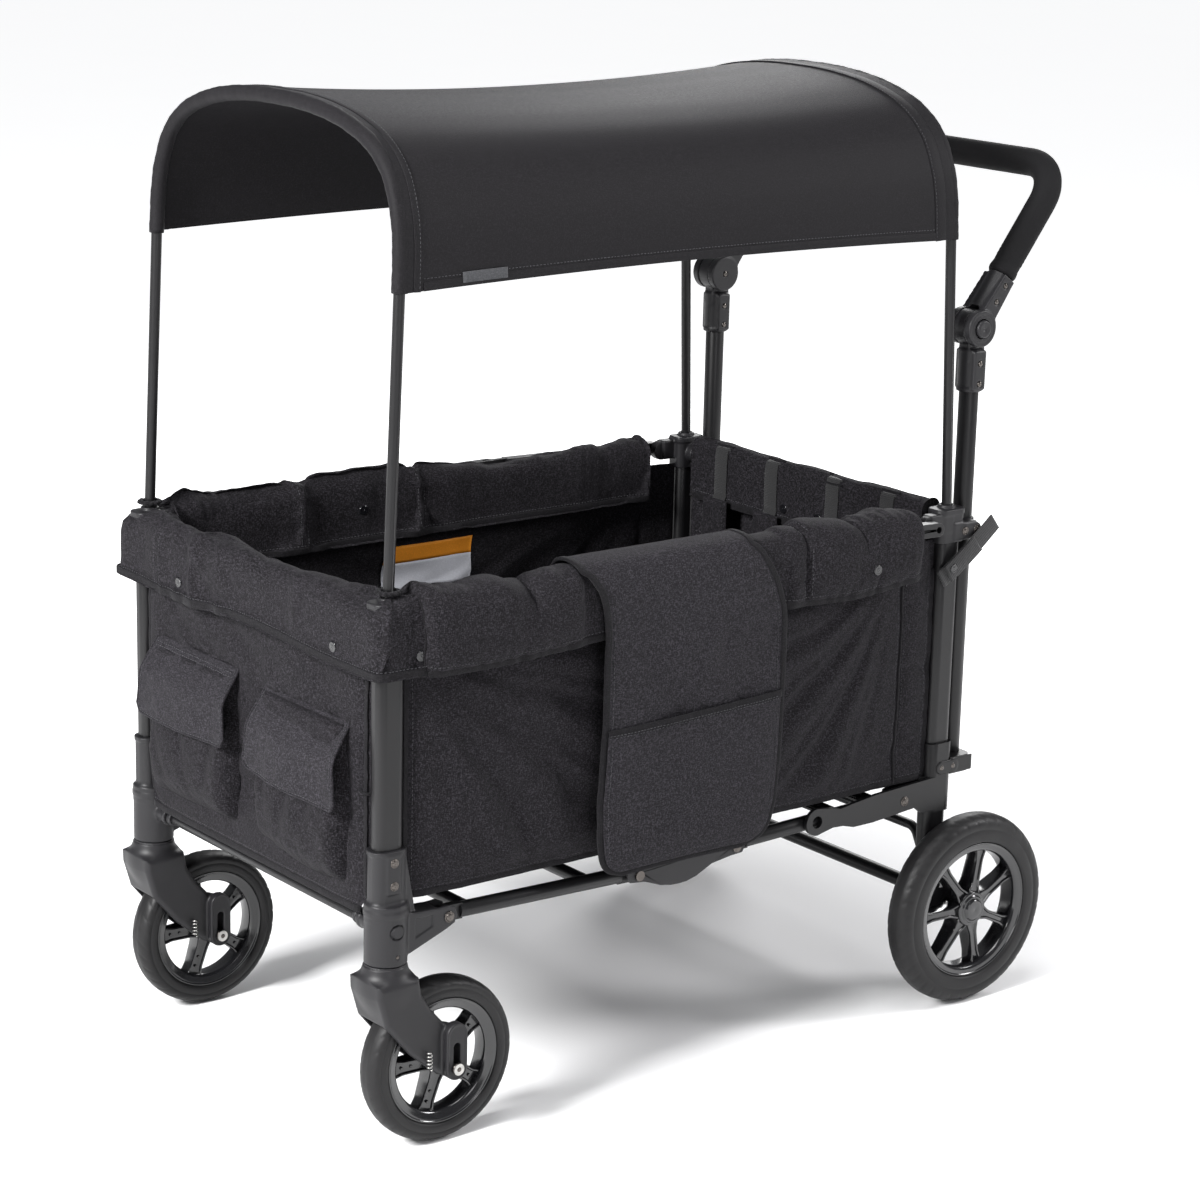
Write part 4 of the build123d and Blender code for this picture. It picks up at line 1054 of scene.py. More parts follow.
def handle_hub():
    """Two cheeks about the hinge and a socket that runs up the handle."""
    form = Field((222, 388, 852), (278, 482, 962))
    form.union(form.cyl("x", (234.5, HINGE_Y, HINGE_Z), 23.4, 5.4, 1.6))
    form.union(form.cyl("x", (266, HINGE_Y, HINGE_Z), 23.4, 5.6, 1.6))
    up = (form.y - HINGE_Y) * HANDLE_COS + (form.z - HINGE_Z) * HANDLE_SIN
    off = -(form.y - HINGE_Y) * HANDLE_SIN + (form.z - HINGE_Z) * HANDLE_COS
    form.union(np.maximum(np.abs(up - 50) - 26,
                          np.sqrt((form.x - UPRIGHT_X) ** 2 + off ** 2) - 15.4), 2)
    for face in (-1, 1):
        x = UPRIGHT_X + face * 13.6
        half_width = 13.0 - 3.0 * np.clip((up - 10) / 60, 0, 1)
        cheek = np.maximum(np.abs(off) - half_width, np.abs(form.x - x) - 5.6)
        form.union(np.maximum(cheek, np.abs(up - 37) - 38), 2.5)
    form.cut(form.disc("x", (UPRIGHT_X, HINGE_Y, HINGE_Z), 24.2, 10.0), 0.3)
    form.cut(form.disc("x", (272, HINGE_Y, HINGE_Z), 12.4, 5.4), 0.5)
    form.cut(form.ring("x", (273, HINGE_Y, HINGE_Z), 18.0, 0.6, 1.9), 0.4)
    form.cut(form.cyl("x", (229, HINGE_Y, HINGE_Z), 4.0, 2.0), 0.5)
    for a in HUB_SCREWS:
        form.cut(form.disc("x", (271, *along_handle(a)), 3.9, 3.4), 0.5)
    place_pair("handle_hub_shell", form, "handle", "handle_hubs")


def handle_buttons():
    # (x, radius)
    profile = [(264.5, 0.01), (264.5, 11.4), (273.0, 11.4), (274.6, 10.8), (275.4, 9.4),
               (275.2, 7.0), (274.6, 4.0), (274.5, 0.01)]
    for side, sx in SIDES:
        s = Soup().add(*lathe(profile, 40, "x", (0, HINGE_Y, HINGE_Z)))
        s = s if sx > 0 else s.mirrored()
        place(s.obj(f"handle_button_cap_{side}", "plastic"), f"handle_button_{side}",
              "black_plastic", f"handle_button_{side}")


def handle_screws():
    s = Soup()
    for z in SCREW_Z:
        s.add(*dome(3.6, 1.5, (267.2, SCREW_Y, z), 1, n=18, sink=1.4))
        s.add(*dome(3.6, 1.5, (232.8, SCREW_Y, z), -1, n=18, sink=1.4))
    right = s.mirrored()
    s.add(np.concatenate(right.v), right.f)
    place(s.obj("handle_base_screws", "bronze"), "rear_frame", "dark_steel")
    s = Soup()
    for sx in (1, -1):
        for a in HUB_SCREWS:
            s.add(*dome(3.4, 1.4, (sx * 268.4, *along_handle(a)), sx, n=18, sink=1.4))
        s.add(*dome(3.6, 1.0, (sx * 229.4, HINGE_Y, HINGE_Z), -sx, n=18, sink=0.8))
    place(s.obj("handle_hub_screws", "bronze"), "handle", "dark_steel")


def ringed_rivet(s, r, h, centre, sx):
    """A domed head inside a flat ring."""
    x, y, z = centre
    s.add(*dome(r, h, centre, sx, n=24, sink=1.2))
    w = r + 1.5
    s.add(*lathe([(x - 0.2 * sx, r - 0.6), (x - 0.2 * sx, w), (x + 0.5 * sx, w),
                  (x + 0.8 * sx, w - 0.5), (x + 0.8 * sx, r - 0.6)], 24, "x", (0, y, z)))


# (radius, height, x, y, z) on the left side
FRONT_RIVETS = [(4.2, 1.9, 277.0, FRONT_POST_Y, 356.5), (4.2, 1.9, 277.0, FRONT_POST_Y, 329.0),
                (5.2, 2.6, 275.6, -390.0, 276.0)]
REAR_RIVETS = [(4.0, 1.8, 276.4, 384, 317), (4.0, 1.8, 276.4, 404, 317),
               (3.9, 1.8, 276.8, 404, 629), (3.9, 1.8, 276.8, 424, 629),
               (5.0, 2.2, 276.2, 322, 283)]


def frame_rivets(tag, rivets):
    s = Soup()
    for sx in (1, -1):
        for r, h, x, y, z in rivets:
            ringed_rivet(s, r, h, (sx * x, y, z), sx)
        if tag == "front":
            s.add(*dome(2.2, 0.8, (sx * 284.2, FRONT_POST_Y, 246), sx, n=14, sink=0.8))
    place(s.obj(f"{tag}_frame_rivet_heads", "bronze"), f"{tag}_frame", "dark_steel",
          f"{tag}_frame_rivets")


def rear_clip_tabs():
    """A thin plate under the two low rear rivets."""
    z = 317.0
    form = Field((270, 370, 300), (281, 440, 334))
    form.union(form.cyl("x", (276.0, 384, z), 8.8, 1.5, 0.5))
    form.union(form.cyl("x", (276.0, 404, z), 8.8, 1.5, 0.5))
    form.union(form.box((276.0, 394, z), (1.5, 10, 8.8), 0.5))
    form.union(form.box((275.8, 420, z), (1.2, 18, 10.4), 0.5), 1)
    place_pair("rear_clip_tab", form, "rear_frame", mat="paint", slot="frame_paint")


def front_tube_collars():
    """Collars on the cross tube, beside the lower brackets."""
    profile = [(205, 7.0), (205, 9.4), (207, 9.9), (212, 9.9), (212, 7.0)]
    s = Soup()
    for sx in (1, -1):
        s.add(*lathe([(sx * x, r) for x, r in profile], 24, "x", (0, FRONT_POST_Y, 273.4)))
    place(s.obj("front_tube_collars", "plastic"), "front_frame", "black_plastic")


def suspension_coils():
    """Two coils per caster, set where the CAD springs are."""
    wire, turns = 0.7, 5.0
    for side, _ in SIDES:
        node = bpy.data.objects["front_springs_" + side]
        pts = np.array([node.matrix_world @ v.co for v in node.data.vertices]) * 1000.0
        # the CAD points are in the frame already; to_frame() adds the shift to them again
        middle = 0.5 * (pts[:, 0].min() + pts[:, 0].max())
        s = Soup()
        for part in (pts[pts[:, 0] < middle], pts[pts[:, 0] >= middle]):
            lo, hi = part.min(0), part.max(0)
            centre = 0.5 * (lo + hi)
            r = 0.5 * (hi[0] - lo[0]) - wire
            a = np.linspace(0, 2 * math.pi * turns, 121)
            path = np.stack([centre[0] + r * np.cos(a), centre[1] + r * np.sin(a),
                             np.linspace(lo[2] + wire, hi[2] - wire, len(a))], 1)
            s.add(*sweep(path, circle(wire, 8)))
        coil = s.obj("suspension_coils_" + side, "steel")
        place(coil, "caster_" + side, "bright_steel", "front_springs_" + side)
        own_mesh(coil)


caster_fork()
axle_bolt_heads()
front_lower_bracket()
top_bracket("front", FRONT_POST_Y, 1)
top_bracket("rear", REAR_POST_Y, -1)
rear_foot()
handle_base()
handle_hub()
handle_buttons()
handle_screws()
frame_rivets("front", FRONT_RIVETS)
frame_rivets("rear", REAR_RIVETS)
rear_clip_tabs()
front_tube_collars()
suspension_coils()

# ---------------------------------------------------------------------------
# cloth: every sheet is pinned where it is sewn, and settles on its own
# ---------------------------------------------------------------------------
SIMS = []       # (object, points before settling, furthest move), in metres
SHEETS = {}     # name: (object, nu, nv)


def coords(ob):
    co = np.empty(len(ob.data.vertices) * 3, np.float32)
    ob.data.vertices.foreach_get("co", co)
    return co.reshape(-1, 3).astype(float)


def cloth(ob, pin, grow, limit, bend, pressure=0.0, mass=0.001):
    """ob settles under its own weight: pin is a weight per vertex, 1 where it is sewn
    down; grow is how much spare cloth there is; limit is the furthest it may move, mm."""
    SIMS.append((ob, coords(ob), limit / 1000.0))
    group = ob.vertex_groups.new(name="pin")
    pin = np.asarray(pin, float)
    for w in np.unique(np.round(pin, 3)):
        if w > 0:
            members = [int(i) for i in np.nonzero(np.abs(pin - w) < 6e-4)[0]]
            group.add(members, float(w), "REPLACE")
    tension = 12.0
    m = ob.modifiers.new("cloth", "CLOTH")
    s = m.settings
    s.quality = 6
    s.mass = mass
    s.air_damping = 2.0
    s.tension_stiffness = tension
    s.compression_stiffness = tension
    s.shear_stiffness = tension * 0.35
    s.bending_stiffness = bend
    s.tension_damping = 3.0
    s.compression_damping = 3.0
    s.shear_damping = 3.0
    s.bending_damping = 0.3
    s.shrink_min = -grow
    s.vertex_group_mass = "pin"
    s.pin_stiffness = 1.0
    s.effector_weights.gravity = 1.0
    if pressure:
        s.use_pressure = True
        s.uniform_pressure_force = pressure
        s.pressure_factor = 1.0
    m.collision_settings.use_collision = False
    m.collision_settings.use_self_collision = False
    m.point_cache.frame_start = 1
    m.point_cache.frame_end = 60


def settle(frame_count=34):
    """Runs every cloth together, takes the result as the mesh and drops the modifier."""
    scene = bpy.context.scene
    scene.frame_start, scene.frame_end = 1, 60
    for f in range(1, frame_count + 1):
        scene.frame_set(f)
    dg = bpy.context.evaluated_depsgraph_get()
    done = []
    for ob, base, limit in SIMS:
        ev = ob.evaluated_get(dg)
        me = ev.to_mesh()
        co = np.empty(len(me.vertices) * 3, np.float32)
        me.vertices.foreach_get("co", co)
        ev.to_mesh_clear()
        done.append((ob, base, co.reshape(-1, 3).astype(float), limit))
    for ob, base, co, limit in done:
        ob.modifiers.clear()
        ob.vertex_groups.clear()
        d = co - base
        d[~np.isfinite(d)] = 0
        size = np.linalg.norm(d, axis=1, keepdims=True) + 1e-9
        d *= limit * np.tanh(size / limit) / size
        ob.data.vertices.foreach_set("co", (base + d).astype(np.float32).ravel())
        ob.data.update()
    scene.frame_set(1)


def mm_of(ob):
    v = coords(ob) * 1000.0
    v[:, 1] -= SHIFT_Y
    return v


def above(level, span):
    """A weight that rises from 0 to 1 over `span` mm above a height."""
    return lambda v: np.clip((v[:, 2] - level) / span, 0, 1)


def crinkle(ob, amp, scale, seed, where=None):
    """Fine creases along the normals, added once the big folds have settled."""
    v = mm_of(ob)
    n = np.empty(len(v) * 3, np.float32)
    ob.data.vertices.foreach_get("normal", n)
    n = n.reshape(-1, 3).astype(float)
    ridge = 1 - np.abs(fbm(v, scale * 2.3, seed + 5, 2)) * 2.2
    d = amp * (fbm(v, scale, seed, 3) * 0.6 + np.maximum(ridge, 0) ** 3 * 0.8 - 0.15)
    if where is not None:
        d = d * where(v)
    moved = to_frame(v + n * d[:, None])
    ob.data.vertices.foreach_set("co", moved.astype(np.float32).ravel())
    ob.data.update()


def tree_of(ob):
    bm = bmesh.new()
    bm.from_mesh(ob.data)
    t = BVHTree.FromBMesh(bm)
    bm.free()
    return t


def press(tree, pts, direction, lift=0.0, reach=60.0):
    """Drops points on a surface along a direction; returns points in mm and normals."""
    d = Vector(direction).normalized()
    out, normals = [], []
    for p in np.asarray(pts, float):
        target = Vector(to_frame(p)[0])
        hit = tree.ray_cast(target - d * (reach / 1000), d, 2.5 * reach / 1000)
        if hit[0] is None:
            hit = tree.find_nearest(target)
        n = hit[1]
        if n.dot(d) > 0:
            n = -n
        q = hit[0] + n * (lift / 1000)
        out.append((q.x * 1000, q.y * 1000 - SHIFT_Y, q.z * 1000))
        normals.append(tuple(n))
    return np.array(out), np.array(normals)


def tape(path, normals, width, thick):
    """A flat bound edge lying on a surface."""
    return sweep(path, round_rect(width, thick, thick * 0.45), normals=normals)


def bind(soup, tree, pts, direction, width, thick, lift=0.5):
    """Lays a tape on a surface, facing against the pressing direction."""
    p, _ = press(tree, pts, direction, lift=lift)
    soup.add(*tape(p, -np.array(direction, float), width, thick))


def sew(soup, tree, pts, direction, gap=1.9, length=3.0, reach=60.0):
    """Lays a row of stitches on a surface."""
    soup.add(*stitches(*press(tree, pts, direction, reach=reach), gap, length))


def snap(soup, centre, normal, r=6.6):
    """A press stud: a dished cap inside a rolled ring."""
    profile = [(-1.0, 0.01), (-1.0, r * 0.98), (0.3, r), (1.0, r * 0.94), (1.3, r * 0.80),
               (1.05, r * 0.66), (0.95, r * 0.5), (1.35, r * 0.30), (1.5, 0.01)]
    v, f = lathe(profile, 24, "z")
    turn = Vector(normal).normalized().to_track_quat("Z", "Y").to_matrix()
    soup.add(v @ np.array(turn).T + np.array(centre), f)


def snap_on(soup, tree, point, direction):
    p, n = press(tree, [point], direction, lift=0.3)
    snap(soup, p[0], -np.array(direction) * 0.75 + n[0] * 0.25)


def upright_line(x, y, zs):
    return [(x, y, z) for z in zs]


# ---------------------------------------------------------------------------
# padded rims
# ---------------------------------------------------------------------------
RIM_TOP = 667.0
ROOF_POINT = 22     # index of a section point on the roof of the pad
WALL_POINT = 5      # index of a section point on its outer wall


def pad_section(width, outer_hem, inner_hem):
    """Closed section of an upside-down U, (w, z), and how many points are outer skin."""
    r = min(23.0, width * 0.42)
    shoulder = RIM_TOP - r
    out = [(2.0, outer_hem)]
    for t in np.linspace(0.08, 1, 11):
        out.append((0.6 - 0.6 * t - 1.4 * math.sin(math.pi * t),
                    outer_hem + (shoulder - outer_hem) * t))
    for a in np.radians(np.linspace(180, 90, 7)[1:]):
        out.append((r + r * math.cos(a), shoulder + r * math.sin(a)))
    for t in np.linspace(0, 1, 7)[1:-1]:
        out.append((r + (width - 2 * r) * t, RIM_TOP + 0.6 * math.sin(math.pi * t)))
    for a in np.radians(np.linspace(90, 0, 7)):
        out.append((width - r + r * math.cos(a), shoulder + r * math.sin(a)))
    for t in np.linspace(0, 0.92, 11)[1:]:
        out.append((width + 0.5 * math.sin(math.pi * t), shoulder + (inner_hem - shoulder) * t))
    out.append((width - 1.5, inner_hem))
    skin = len(out)
    g = min(9.5, width * 0.24)
    out += [(width - g, inner_hem + 1), (width - g, inner_hem + 30), (width - g, 648),
            (width * 0.66, 652), (width * 0.34, 652), (g, 648), (g, outer_hem + 40),
            (g, outer_hem + 1)]
    return np.array(out), skin


def make_pad(name, outer, inner, outer_hem, inner_hem, seed, seams=(), limit=12.0, grow=0.14,
             bumps=7.6, held=None, gathers=(), calm=None):
    """A rim pad between two plan paths of equal length, mm.

    seams: (station, depth); gathers: (station, spread, strength, "in", "out" or "both");
    held and calm take points and return where the cloth is pinned and where it lies flat.
    """
    rows = []
    for start, end, hem in zip(outer, inner, outer_hem):
        a, b = np.array(start, float), np.array(end, float)
        width = np.linalg.norm(b - a)
        d = (b - a) / width
        section, skin_count = pad_section(width, hem, inner_hem)
        rows.append(np.stack([a[0] + d[0] * section[:, 0], a[1] + d[1] * section[:, 0],
                              section[:, 1]], 1))
    pts = np.array(rows)
    n, m = pts.shape[:2]
    run = np.r_[0, np.cumsum(np.linalg.norm(np.diff(pts[:, WALL_POINT], axis=0), axis=1))]
    flat = pts.reshape(-1, 3)
    u = np.repeat(run, m)
    j = np.tile(np.arange(m), n)
    skin = (j > 0) & (j < skin_count - 1)
    t = j / (skin_count - 1.0)
    envelope = np.where(skin, np.sin(np.pi * np.clip(t, 0, 1)) ** 0.5, 0)
    g = noise_over(u, t * 60.0, 0, 36.0, seed, 2) * 0.75
    g = g + noise_over(u, t * 150.0, 0, 62.0, seed + 9) * 0.95
    # pleats that run across the pad
    for station, spread, strength, where in gathers:
        lean = (t - 0.5) * 26.0 * (1 if station > 300 else -1)
        wander = 5.0 * noise_over(u, t * 90, 0, 40.0, seed + 3, 2)
        pleat = np.abs(np.sin((u + lean + wander) * math.pi / 15.0))
        weight = np.exp(-((u - station) / spread) ** 2)
        if where == "in":
            weight = weight * smooth(t, 0.35, 0.6)
        elif where == "out":
            weight = weight * (1 - smooth(t, 0.45, 0.7))
        g = g + (pleat - 0.6) * strength * weight
    centre = np.repeat(pts[:, ROOF_POINT], m, axis=0)
    centre[:, 2] = 630
    outward = flat - centre
    outward /= np.linalg.norm(outward, axis=1, keepdims=True) + 1e-9
    for station, depth in seams:
        g = g - np.exp(-((u - station) / 5.0) ** 2) * depth / bumps
    if calm is not None:
        envelope = envelope * (1 - calm(flat))
    flat = flat + outward * (g * bumps * envelope)[:, None]
    # rounded ends
    for end, step in ((0, 1), (n - 1, -1)):
        for k, size in enumerate((0.86, 0.95, 0.985)):
            i = end + step * k
            c = pts[i].mean(0)
            c[2] = 625
            ring = flat[i * m:(i + 1) * m]
            flat[i * m:(i + 1) * m] = c + (ring - c) * np.array([size, size, (1 + size) / 2])
    faces = [tuple(f) for f in grid(n, m, False, True)]
    for i in (0, n - 1):
        faces.append(tuple(i * m + k for k in range(m)))
    ob = new_obj(name, flat, faces, "heather")
    pin = np.ones(len(flat))
    pin[skin] = 0.0
    pin[u < 1] = 1
    pin[u > run[-1] - 1] = 1
    for station, _ in seams:
        pin[np.abs(u - station) < 3.2] = 1
    if held is not None:
        pin = np.maximum(pin, held(flat))
    cloth(ob, pin, grow=grow, pressure=420.0, limit=limit, bend=0.03)
    # grid size of the pad, kept with the object
    ob["rows"] = n
    ob["cols"] = m
    return ob


def side_hem(y):
    """Height of the outer hem along the side."""
    return (575 + 2.0 * math.sin(y * 0.021) + 7.0 * float(smooth(y, 170, 300))
            + 4.0 * float(smooth(y, -250, -180)) * (1 - float(smooth(y, -120, -60))))


def under_organiser(flat):
    return smooth(flat[:, 1], -232, -216) * (1 - smooth(flat[:, 1], 82, 96))


SIDE_PAD = {
    "left": dict(
        seed=11, seams=((560.0, 2.4),), calm=under_organiser,
        gathers=((690.0, 55.0, 0.55, "out"), (40.0, 45.0, 0.5, "in"), (250.0, 60.0, 0.25, "out")),
        held=lambda flat: (under_organiser(flat) > 0.5).astype(float)),
    "right": dict(
        seed=23, seams=((188.0, 4.5), (372.0, 5.0)),
        gathers=((60.0, 55.0, 0.8, "in"), (640.0, 60.0, 0.5, "in"))),
}
PADS = {}


def side_pads():
    stations = np.arange(-441.0, 309.5, 5.6)
    for side, sx in SIDES:
        wobble = 1.2 * np.sin(stations * 0.03 + (0 if sx > 0 else 2.0))
        outer = [(sx * (298.4 + min(w, 0.4)), y) for y, w in zip(stations, wobble)]
        inner = [(sx * (240.0 + 0.6 * w), y) for y, w in zip(stations, wobble)]
        PADS[side] = make_pad(f"side_rim_pad_{side}", outer, inner,
                              [side_hem(y) for y in stations], 577, **SIDE_PAD[side])


def front_pad_paths():
    """Plan paths of the front pad, which runs round both corner posts."""
    outer_r, inner_r = 22.0, 5.0
    inner_x, inner_y = 237.0, -436.0        # centre of the inner corner
    leg = np.linspace(-433.0, -484.0, 10)
    outer = [(299.5, y) for y in leg]
    inner = []
    for i, y in enumerate(leg):
        a = math.radians(34.0 * i / (len(leg) - 1))
        inner.append((inner_x + inner_r * math.cos(a),
                      inner_y - inner_r * math.sin(a) + (leg[0] - y) * 0.02))
    for k in range(1, 8):
        a = math.radians(90 * k / 8)
        outer.append((299.5 - outer_r + outer_r * math.cos(a), -484.5 - outer_r * math.sin(a)))
        b = math.radians(34 + 52 * k / 8)
        inner.append((inner_x + inner_r * math.cos(b) - 2.0 * k / 8,
                      inner_y - inner_r * math.sin(b)))
    for x in np.arange(274.0, -0.1, -5.6):
        outer.append((x, -506.6 - 0.4 * math.sin(x * 0.05)))
        inner.append((234.0 if x > 234 else x * 0.999, -441.4))
    outer += [(-x, y) for x, y in outer[::-1][1:]]
    inner += [(-x, y) for x, y in inner[::-1][1:]]
    return outer, inner


def near_corner(flat):
    """1 at the inner corners and on top of the corner posts."""
    x = np.abs(flat[:, 0])
    corner = np.hypot(x - 238, flat[:, 1] + 441)
    post = np.hypot(x - POST_X, flat[:, 1] - FRONT_POST_Y)
    return np.where((corner < 7) | ((post < 9) & (flat[:, 2] > 655)), 1.0, 0.0)


side_pads()
FRONT_OUTER, front_inner = front_pad_paths()
FRONT_HEM = [576 + 3.0 * math.exp(-(x / 120.0) ** 2) + 2.0 * math.sin(x * 0.018 + 1)
             for x, _ in FRONT_OUTER]
PADS["front"] = make_pad(
    "front_rim_pad_cover", FRONT_OUTER, front_inner, FRONT_HEM, 578, seed=37,
    seams=((470.0, 2.6),), held=near_corner, grow=0.075,
    gathers=((35.0, 30.0, 0.4, "both"), (700.0, 40.0, 0.45, "both")))
rear_xs = np.arange(-233.0, 233.5, 5.6)
PADS["rear"] = make_pad(
    "rear_rim_pad_cover", [(x, 403.5) for x in rear_xs], [(x, 367.0) for x in rear_xs],
    [578] * len(rear_xs), 577, seed=51, limit=5.5, grow=0.05, bumps=2.6)


# ---------------------------------------------------------------------------
# wall panels; u runs along the wall and v is the height
# ---------------------------------------------------------------------------
def loose_sheet(name, pts, mat):
    """A single grid of cloth, to be thickened once it has settled."""
    nu, nv = pts.shape[:2]
    ob = new_obj(name, pts.reshape(-1, 3), grid(nu, nv), mat)
    SHEETS[name] = (ob, nu, nv)
    return ob


def fan(u, v, corner, side, freq, amp, seed, a0=-8.0, a1=-75.0, reach=620.0):
    """Folds that spread out of a corner between angles a1 and a0; side is the way they
    run along u."""
    du, dv = (u - corner[0]) * side, v - corner[1]
    r = np.hypot(du, dv)
    angle = np.degrees(np.arctan2(dv, np.maximum(du, 1e-3)))
    phase = np.radians(angle) * freq + noise_over(u, v, 0, 110.0, seed, 2) * 1.6
    s = np.sin(phase)
    ridge = (np.sign(s) * np.abs(s) ** 0.8 * 0.5
             + (1 - np.abs(np.sin(phase * 0.5 + 0.6))) ** 2 * 0.9 - 0.25)
    w = smooth(angle, a1 - 10, a1 + 14) * (1 - smooth(angle, a0 - 8, a0 + 8))
    w = w * smooth(r, 24.0, 156.0) * (1 - smooth(r, reach * 0.62, reach))
    return amp * ridge * w


def wall(name, us, vs, point, normal, pinned, seed, folds, grow, limit, bulge, pressure):
    """A cloth wall sewn along its edges; point(u, v) gives its place."""
    u, v = np.meshgrid(us, vs, indexing="ij")
    inset = np.clip(np.minimum.reduce([u - us[0], us[-1] - u, v - vs[0], vs[-1] - v]) / 40.0,
                    0, 1)
    depth = noise_over(u, v, 0, 70.0, seed) * bulge + folds(u, v)
    pts = point(u, v) + np.array(normal, float) * (depth * smooth(inset))[..., None]
    ob = loose_sheet(name, pts, "heather")
    cloth(ob, pinned(u, v).astype(float).ravel(), grow=grow, limit=limit, mass=0.0012,
          bend=0.02, pressure=pressure)


def side_wall(side, sx, seed):
    def point(u, v):
        x = POST_X + 6.0 - 6.0 * smooth(u, 338, 366) - 6.0 * smooth(-u, 418, 447)
        x = x + (10.0 * smooth(u, -440, -350) * (1 - smooth(u, 215, 300))
                 * smooth(v, 308, 350) * (1 - smooth(v, 540, 592)))
        return np.stack([sx * x, u, v], 2)

    def pinned(u, v):
        return (u < -445) | (u > 363) | (v < 308) | (v > 592) | (np.abs(u - 306) < 4)

    def folds(u, v):
        return (fan(u, v, (-445, 604), 1, 21.0, 12.0, seed) * (1 - smooth(u, 20, 120))
                + fan(u, v, (306, 598), -1, 22.0, 10.5, seed + 1)
                * smooth(u, -60, 60) * (1 - smooth(u, 292, 304))
                + fan(u, v, (120, 600), -1, 13.0, 5.0, seed + 3)
                * (1 - smooth(u, 60, 118)) * smooth(u, -300, -120))

    wall(f"side_panel_{side}", np.linspace(-448, 366.6, 126), np.linspace(305, 621, 50), point,
         (sx, 0, 0), pinned, seed, folds, grow=0.02, limit=4.5, bulge=3.2, pressure=25.0)


END_WALL_HALF = 247.6


def front_wall():
    def point(u, v):
        x = u * np.where(v < 303, 232 / END_WALL_HALF, 1.0)
        return np.stack([x, -481.5 + 7.0 * smooth(np.abs(u), 224, 247) * (v > 303), v], 2)

    def folds(u, v):
        low = dict(a0=78.0, a1=12.0, reach=420.0)
        return (fan(u, v, (-243, 300), 1, 12.0, 6.0, 5, **low)
                + fan(u, v, (243, 300), -1, 13.0, 6.0, 6, **low)
                + fan(u, v, (-240, 600), 1, 14.0, 6.0, 7, reach=380.0)
                + fan(u, v, (240, 600), -1, 14.0, 5.0, 8, reach=380.0))

    wall("front_wall_cloth", np.linspace(-END_WALL_HALF, END_WALL_HALF, 72),
         np.linspace(285, 620, 49), point, (0, -1, 0),
         lambda u, v: (np.abs(u) > 243) | (v < 288) | (v > 592), 91, folds,
         grow=0.02, limit=4.0, bulge=2.6, pressure=25.0)


def rear_wall():
    def point(u, v):
        return np.stack([u, 397.0 - 9.0 * smooth(np.abs(u), 224, 247), v], 2)

    def folds(u, v):
        return (fan(u, v, (-240, 600), 1, 15.0, 3.5, 17, reach=420.0)
                + fan(u, v, (240, 600), -1, 13.0, 3.5, 18, reach=420.0))

    wall("rear_wall_cloth", np.linspace(-END_WALL_HALF, END_WALL_HALF, 72),
         np.linspace(300, 620, 46), point, (0, 1, 0),
         lambda u, v: (np.abs(u) > 243) | (v < 303) | (v > 590), 97, folds,
         grow=0.015, limit=3.5, bulge=2.4, pressure=20.0)


side_wall("left", 1, 71)
side_wall("right", -1, 83)
front_wall()
rear_wall()


# ---------------------------------------------------------------------------
# seats and floor mats
# ---------------------------------------------------------------------------
def cushion(name, xs, ys, zs, seed, quilt, step, rounding, grow, limit):
    """A closed pad: top and bottom sheets joined by a rounded edge, sewn along the quilt
    lines; xs, ys and zs are (low, high)."""
    (x0, x1), (y0, y1), (z0, z1) = xs, ys, zs
    nx, ny = int((x1 - x0) / step) + 1, int((y1 - y0) / step) + 1
    x, y = np.meshgrid(np.linspace(x0, x1, nx), np.linspace(y0, y1, ny), indexing="ij")
    edge = np.minimum.reduce([x - x0, x1 - x, y - y0, y1 - y])
    h = (z1 - z0) / 2
    middle = (z0 + z1) / 2
    k = np.clip(edge / rounding, 0, 1)
    fullness = np.sqrt(1 - (1 - k) ** 2)
    seam = np.zeros(x.shape)
    for axis, c in quilt:
        d = np.abs((x if axis == "x" else y) - c)
        seam = np.maximum(seam, np.exp(-(d / 5.0) ** 2))
    top = (middle + (h * 0.9) * fullness - seam * min(4.0, h * 0.5)
           + noise_over(x, y, 0, 45.0, seed) * 0.8 * k)
    bottom = middle - (h * 0.9) * fullness + seam * min(2.0, h * 0.3)
    verts, faces = double_sheet(np.stack([x, y, top], 2), np.stack([x, y, bottom], 2))
    ob = new_obj(name, verts, faces, "heather")
    pin = np.where((seam > 0.75) | (edge < 1), 1.0, 0.0).ravel()
    cloth(ob, np.concatenate([pin, np.ones(nx * ny)]), grow=grow, pressure=500.0, limit=limit,
          bend=0.03)
    return ob


SEAT = dict(xs=(-221, 221), zs=(415.5, 444.5), step=8.0, rounding=7.0, grow=0.05, limit=5.0)
MAT = dict(xs=(-227.5, 227.5), zs=(297.3, 305.6), step=9, rounding=3, grow=0.02, limit=1.5)
MAT_QUILT = (("x", -114), ("x", 0), ("x", 114))
# key, name, body, CAD piece, low and high Y, seed, quilt lines (axis, place), shape
CUSHIONS = [
    ("rear_seat", "rear_seat_cushion", "rear_seat", "rear_seat", (155, 392), 5,
     (("y", 300), ("x", 0), ("y", 225)), SEAT),
    ("front_seat", "front_seat_cushion", "front_seat", "front_seat", (-474, -238), 6,
     (("y", -390), ("x", 0), ("y", -315)), SEAT),
    ("rear_mat", "rear_floor_mat", "rear_floor_frame", "rear_floor_board", (44.8, 318.0), 7,
     MAT_QUILT + (("y", 182),), MAT),
    ("centre_mat", "centre_floor_mat", "centre_floor_frame", "centre_floor_board",
     (-109.4, 41.4), 8, MAT_QUILT, MAT),
    ("front_mat", "front_floor_mat", "front_floor_frame", "front_floor_board",
     (-386.0, -112.6), 9, MAT_QUILT + (("y", -250),), MAT),
]
CUSHION_OBJECTS = {key: cushion(name, ys=ys, seed=seed, quilt=quilt, **shape)
                   for key, name, _, _, ys, seed, quilt, shape in CUSHIONS}

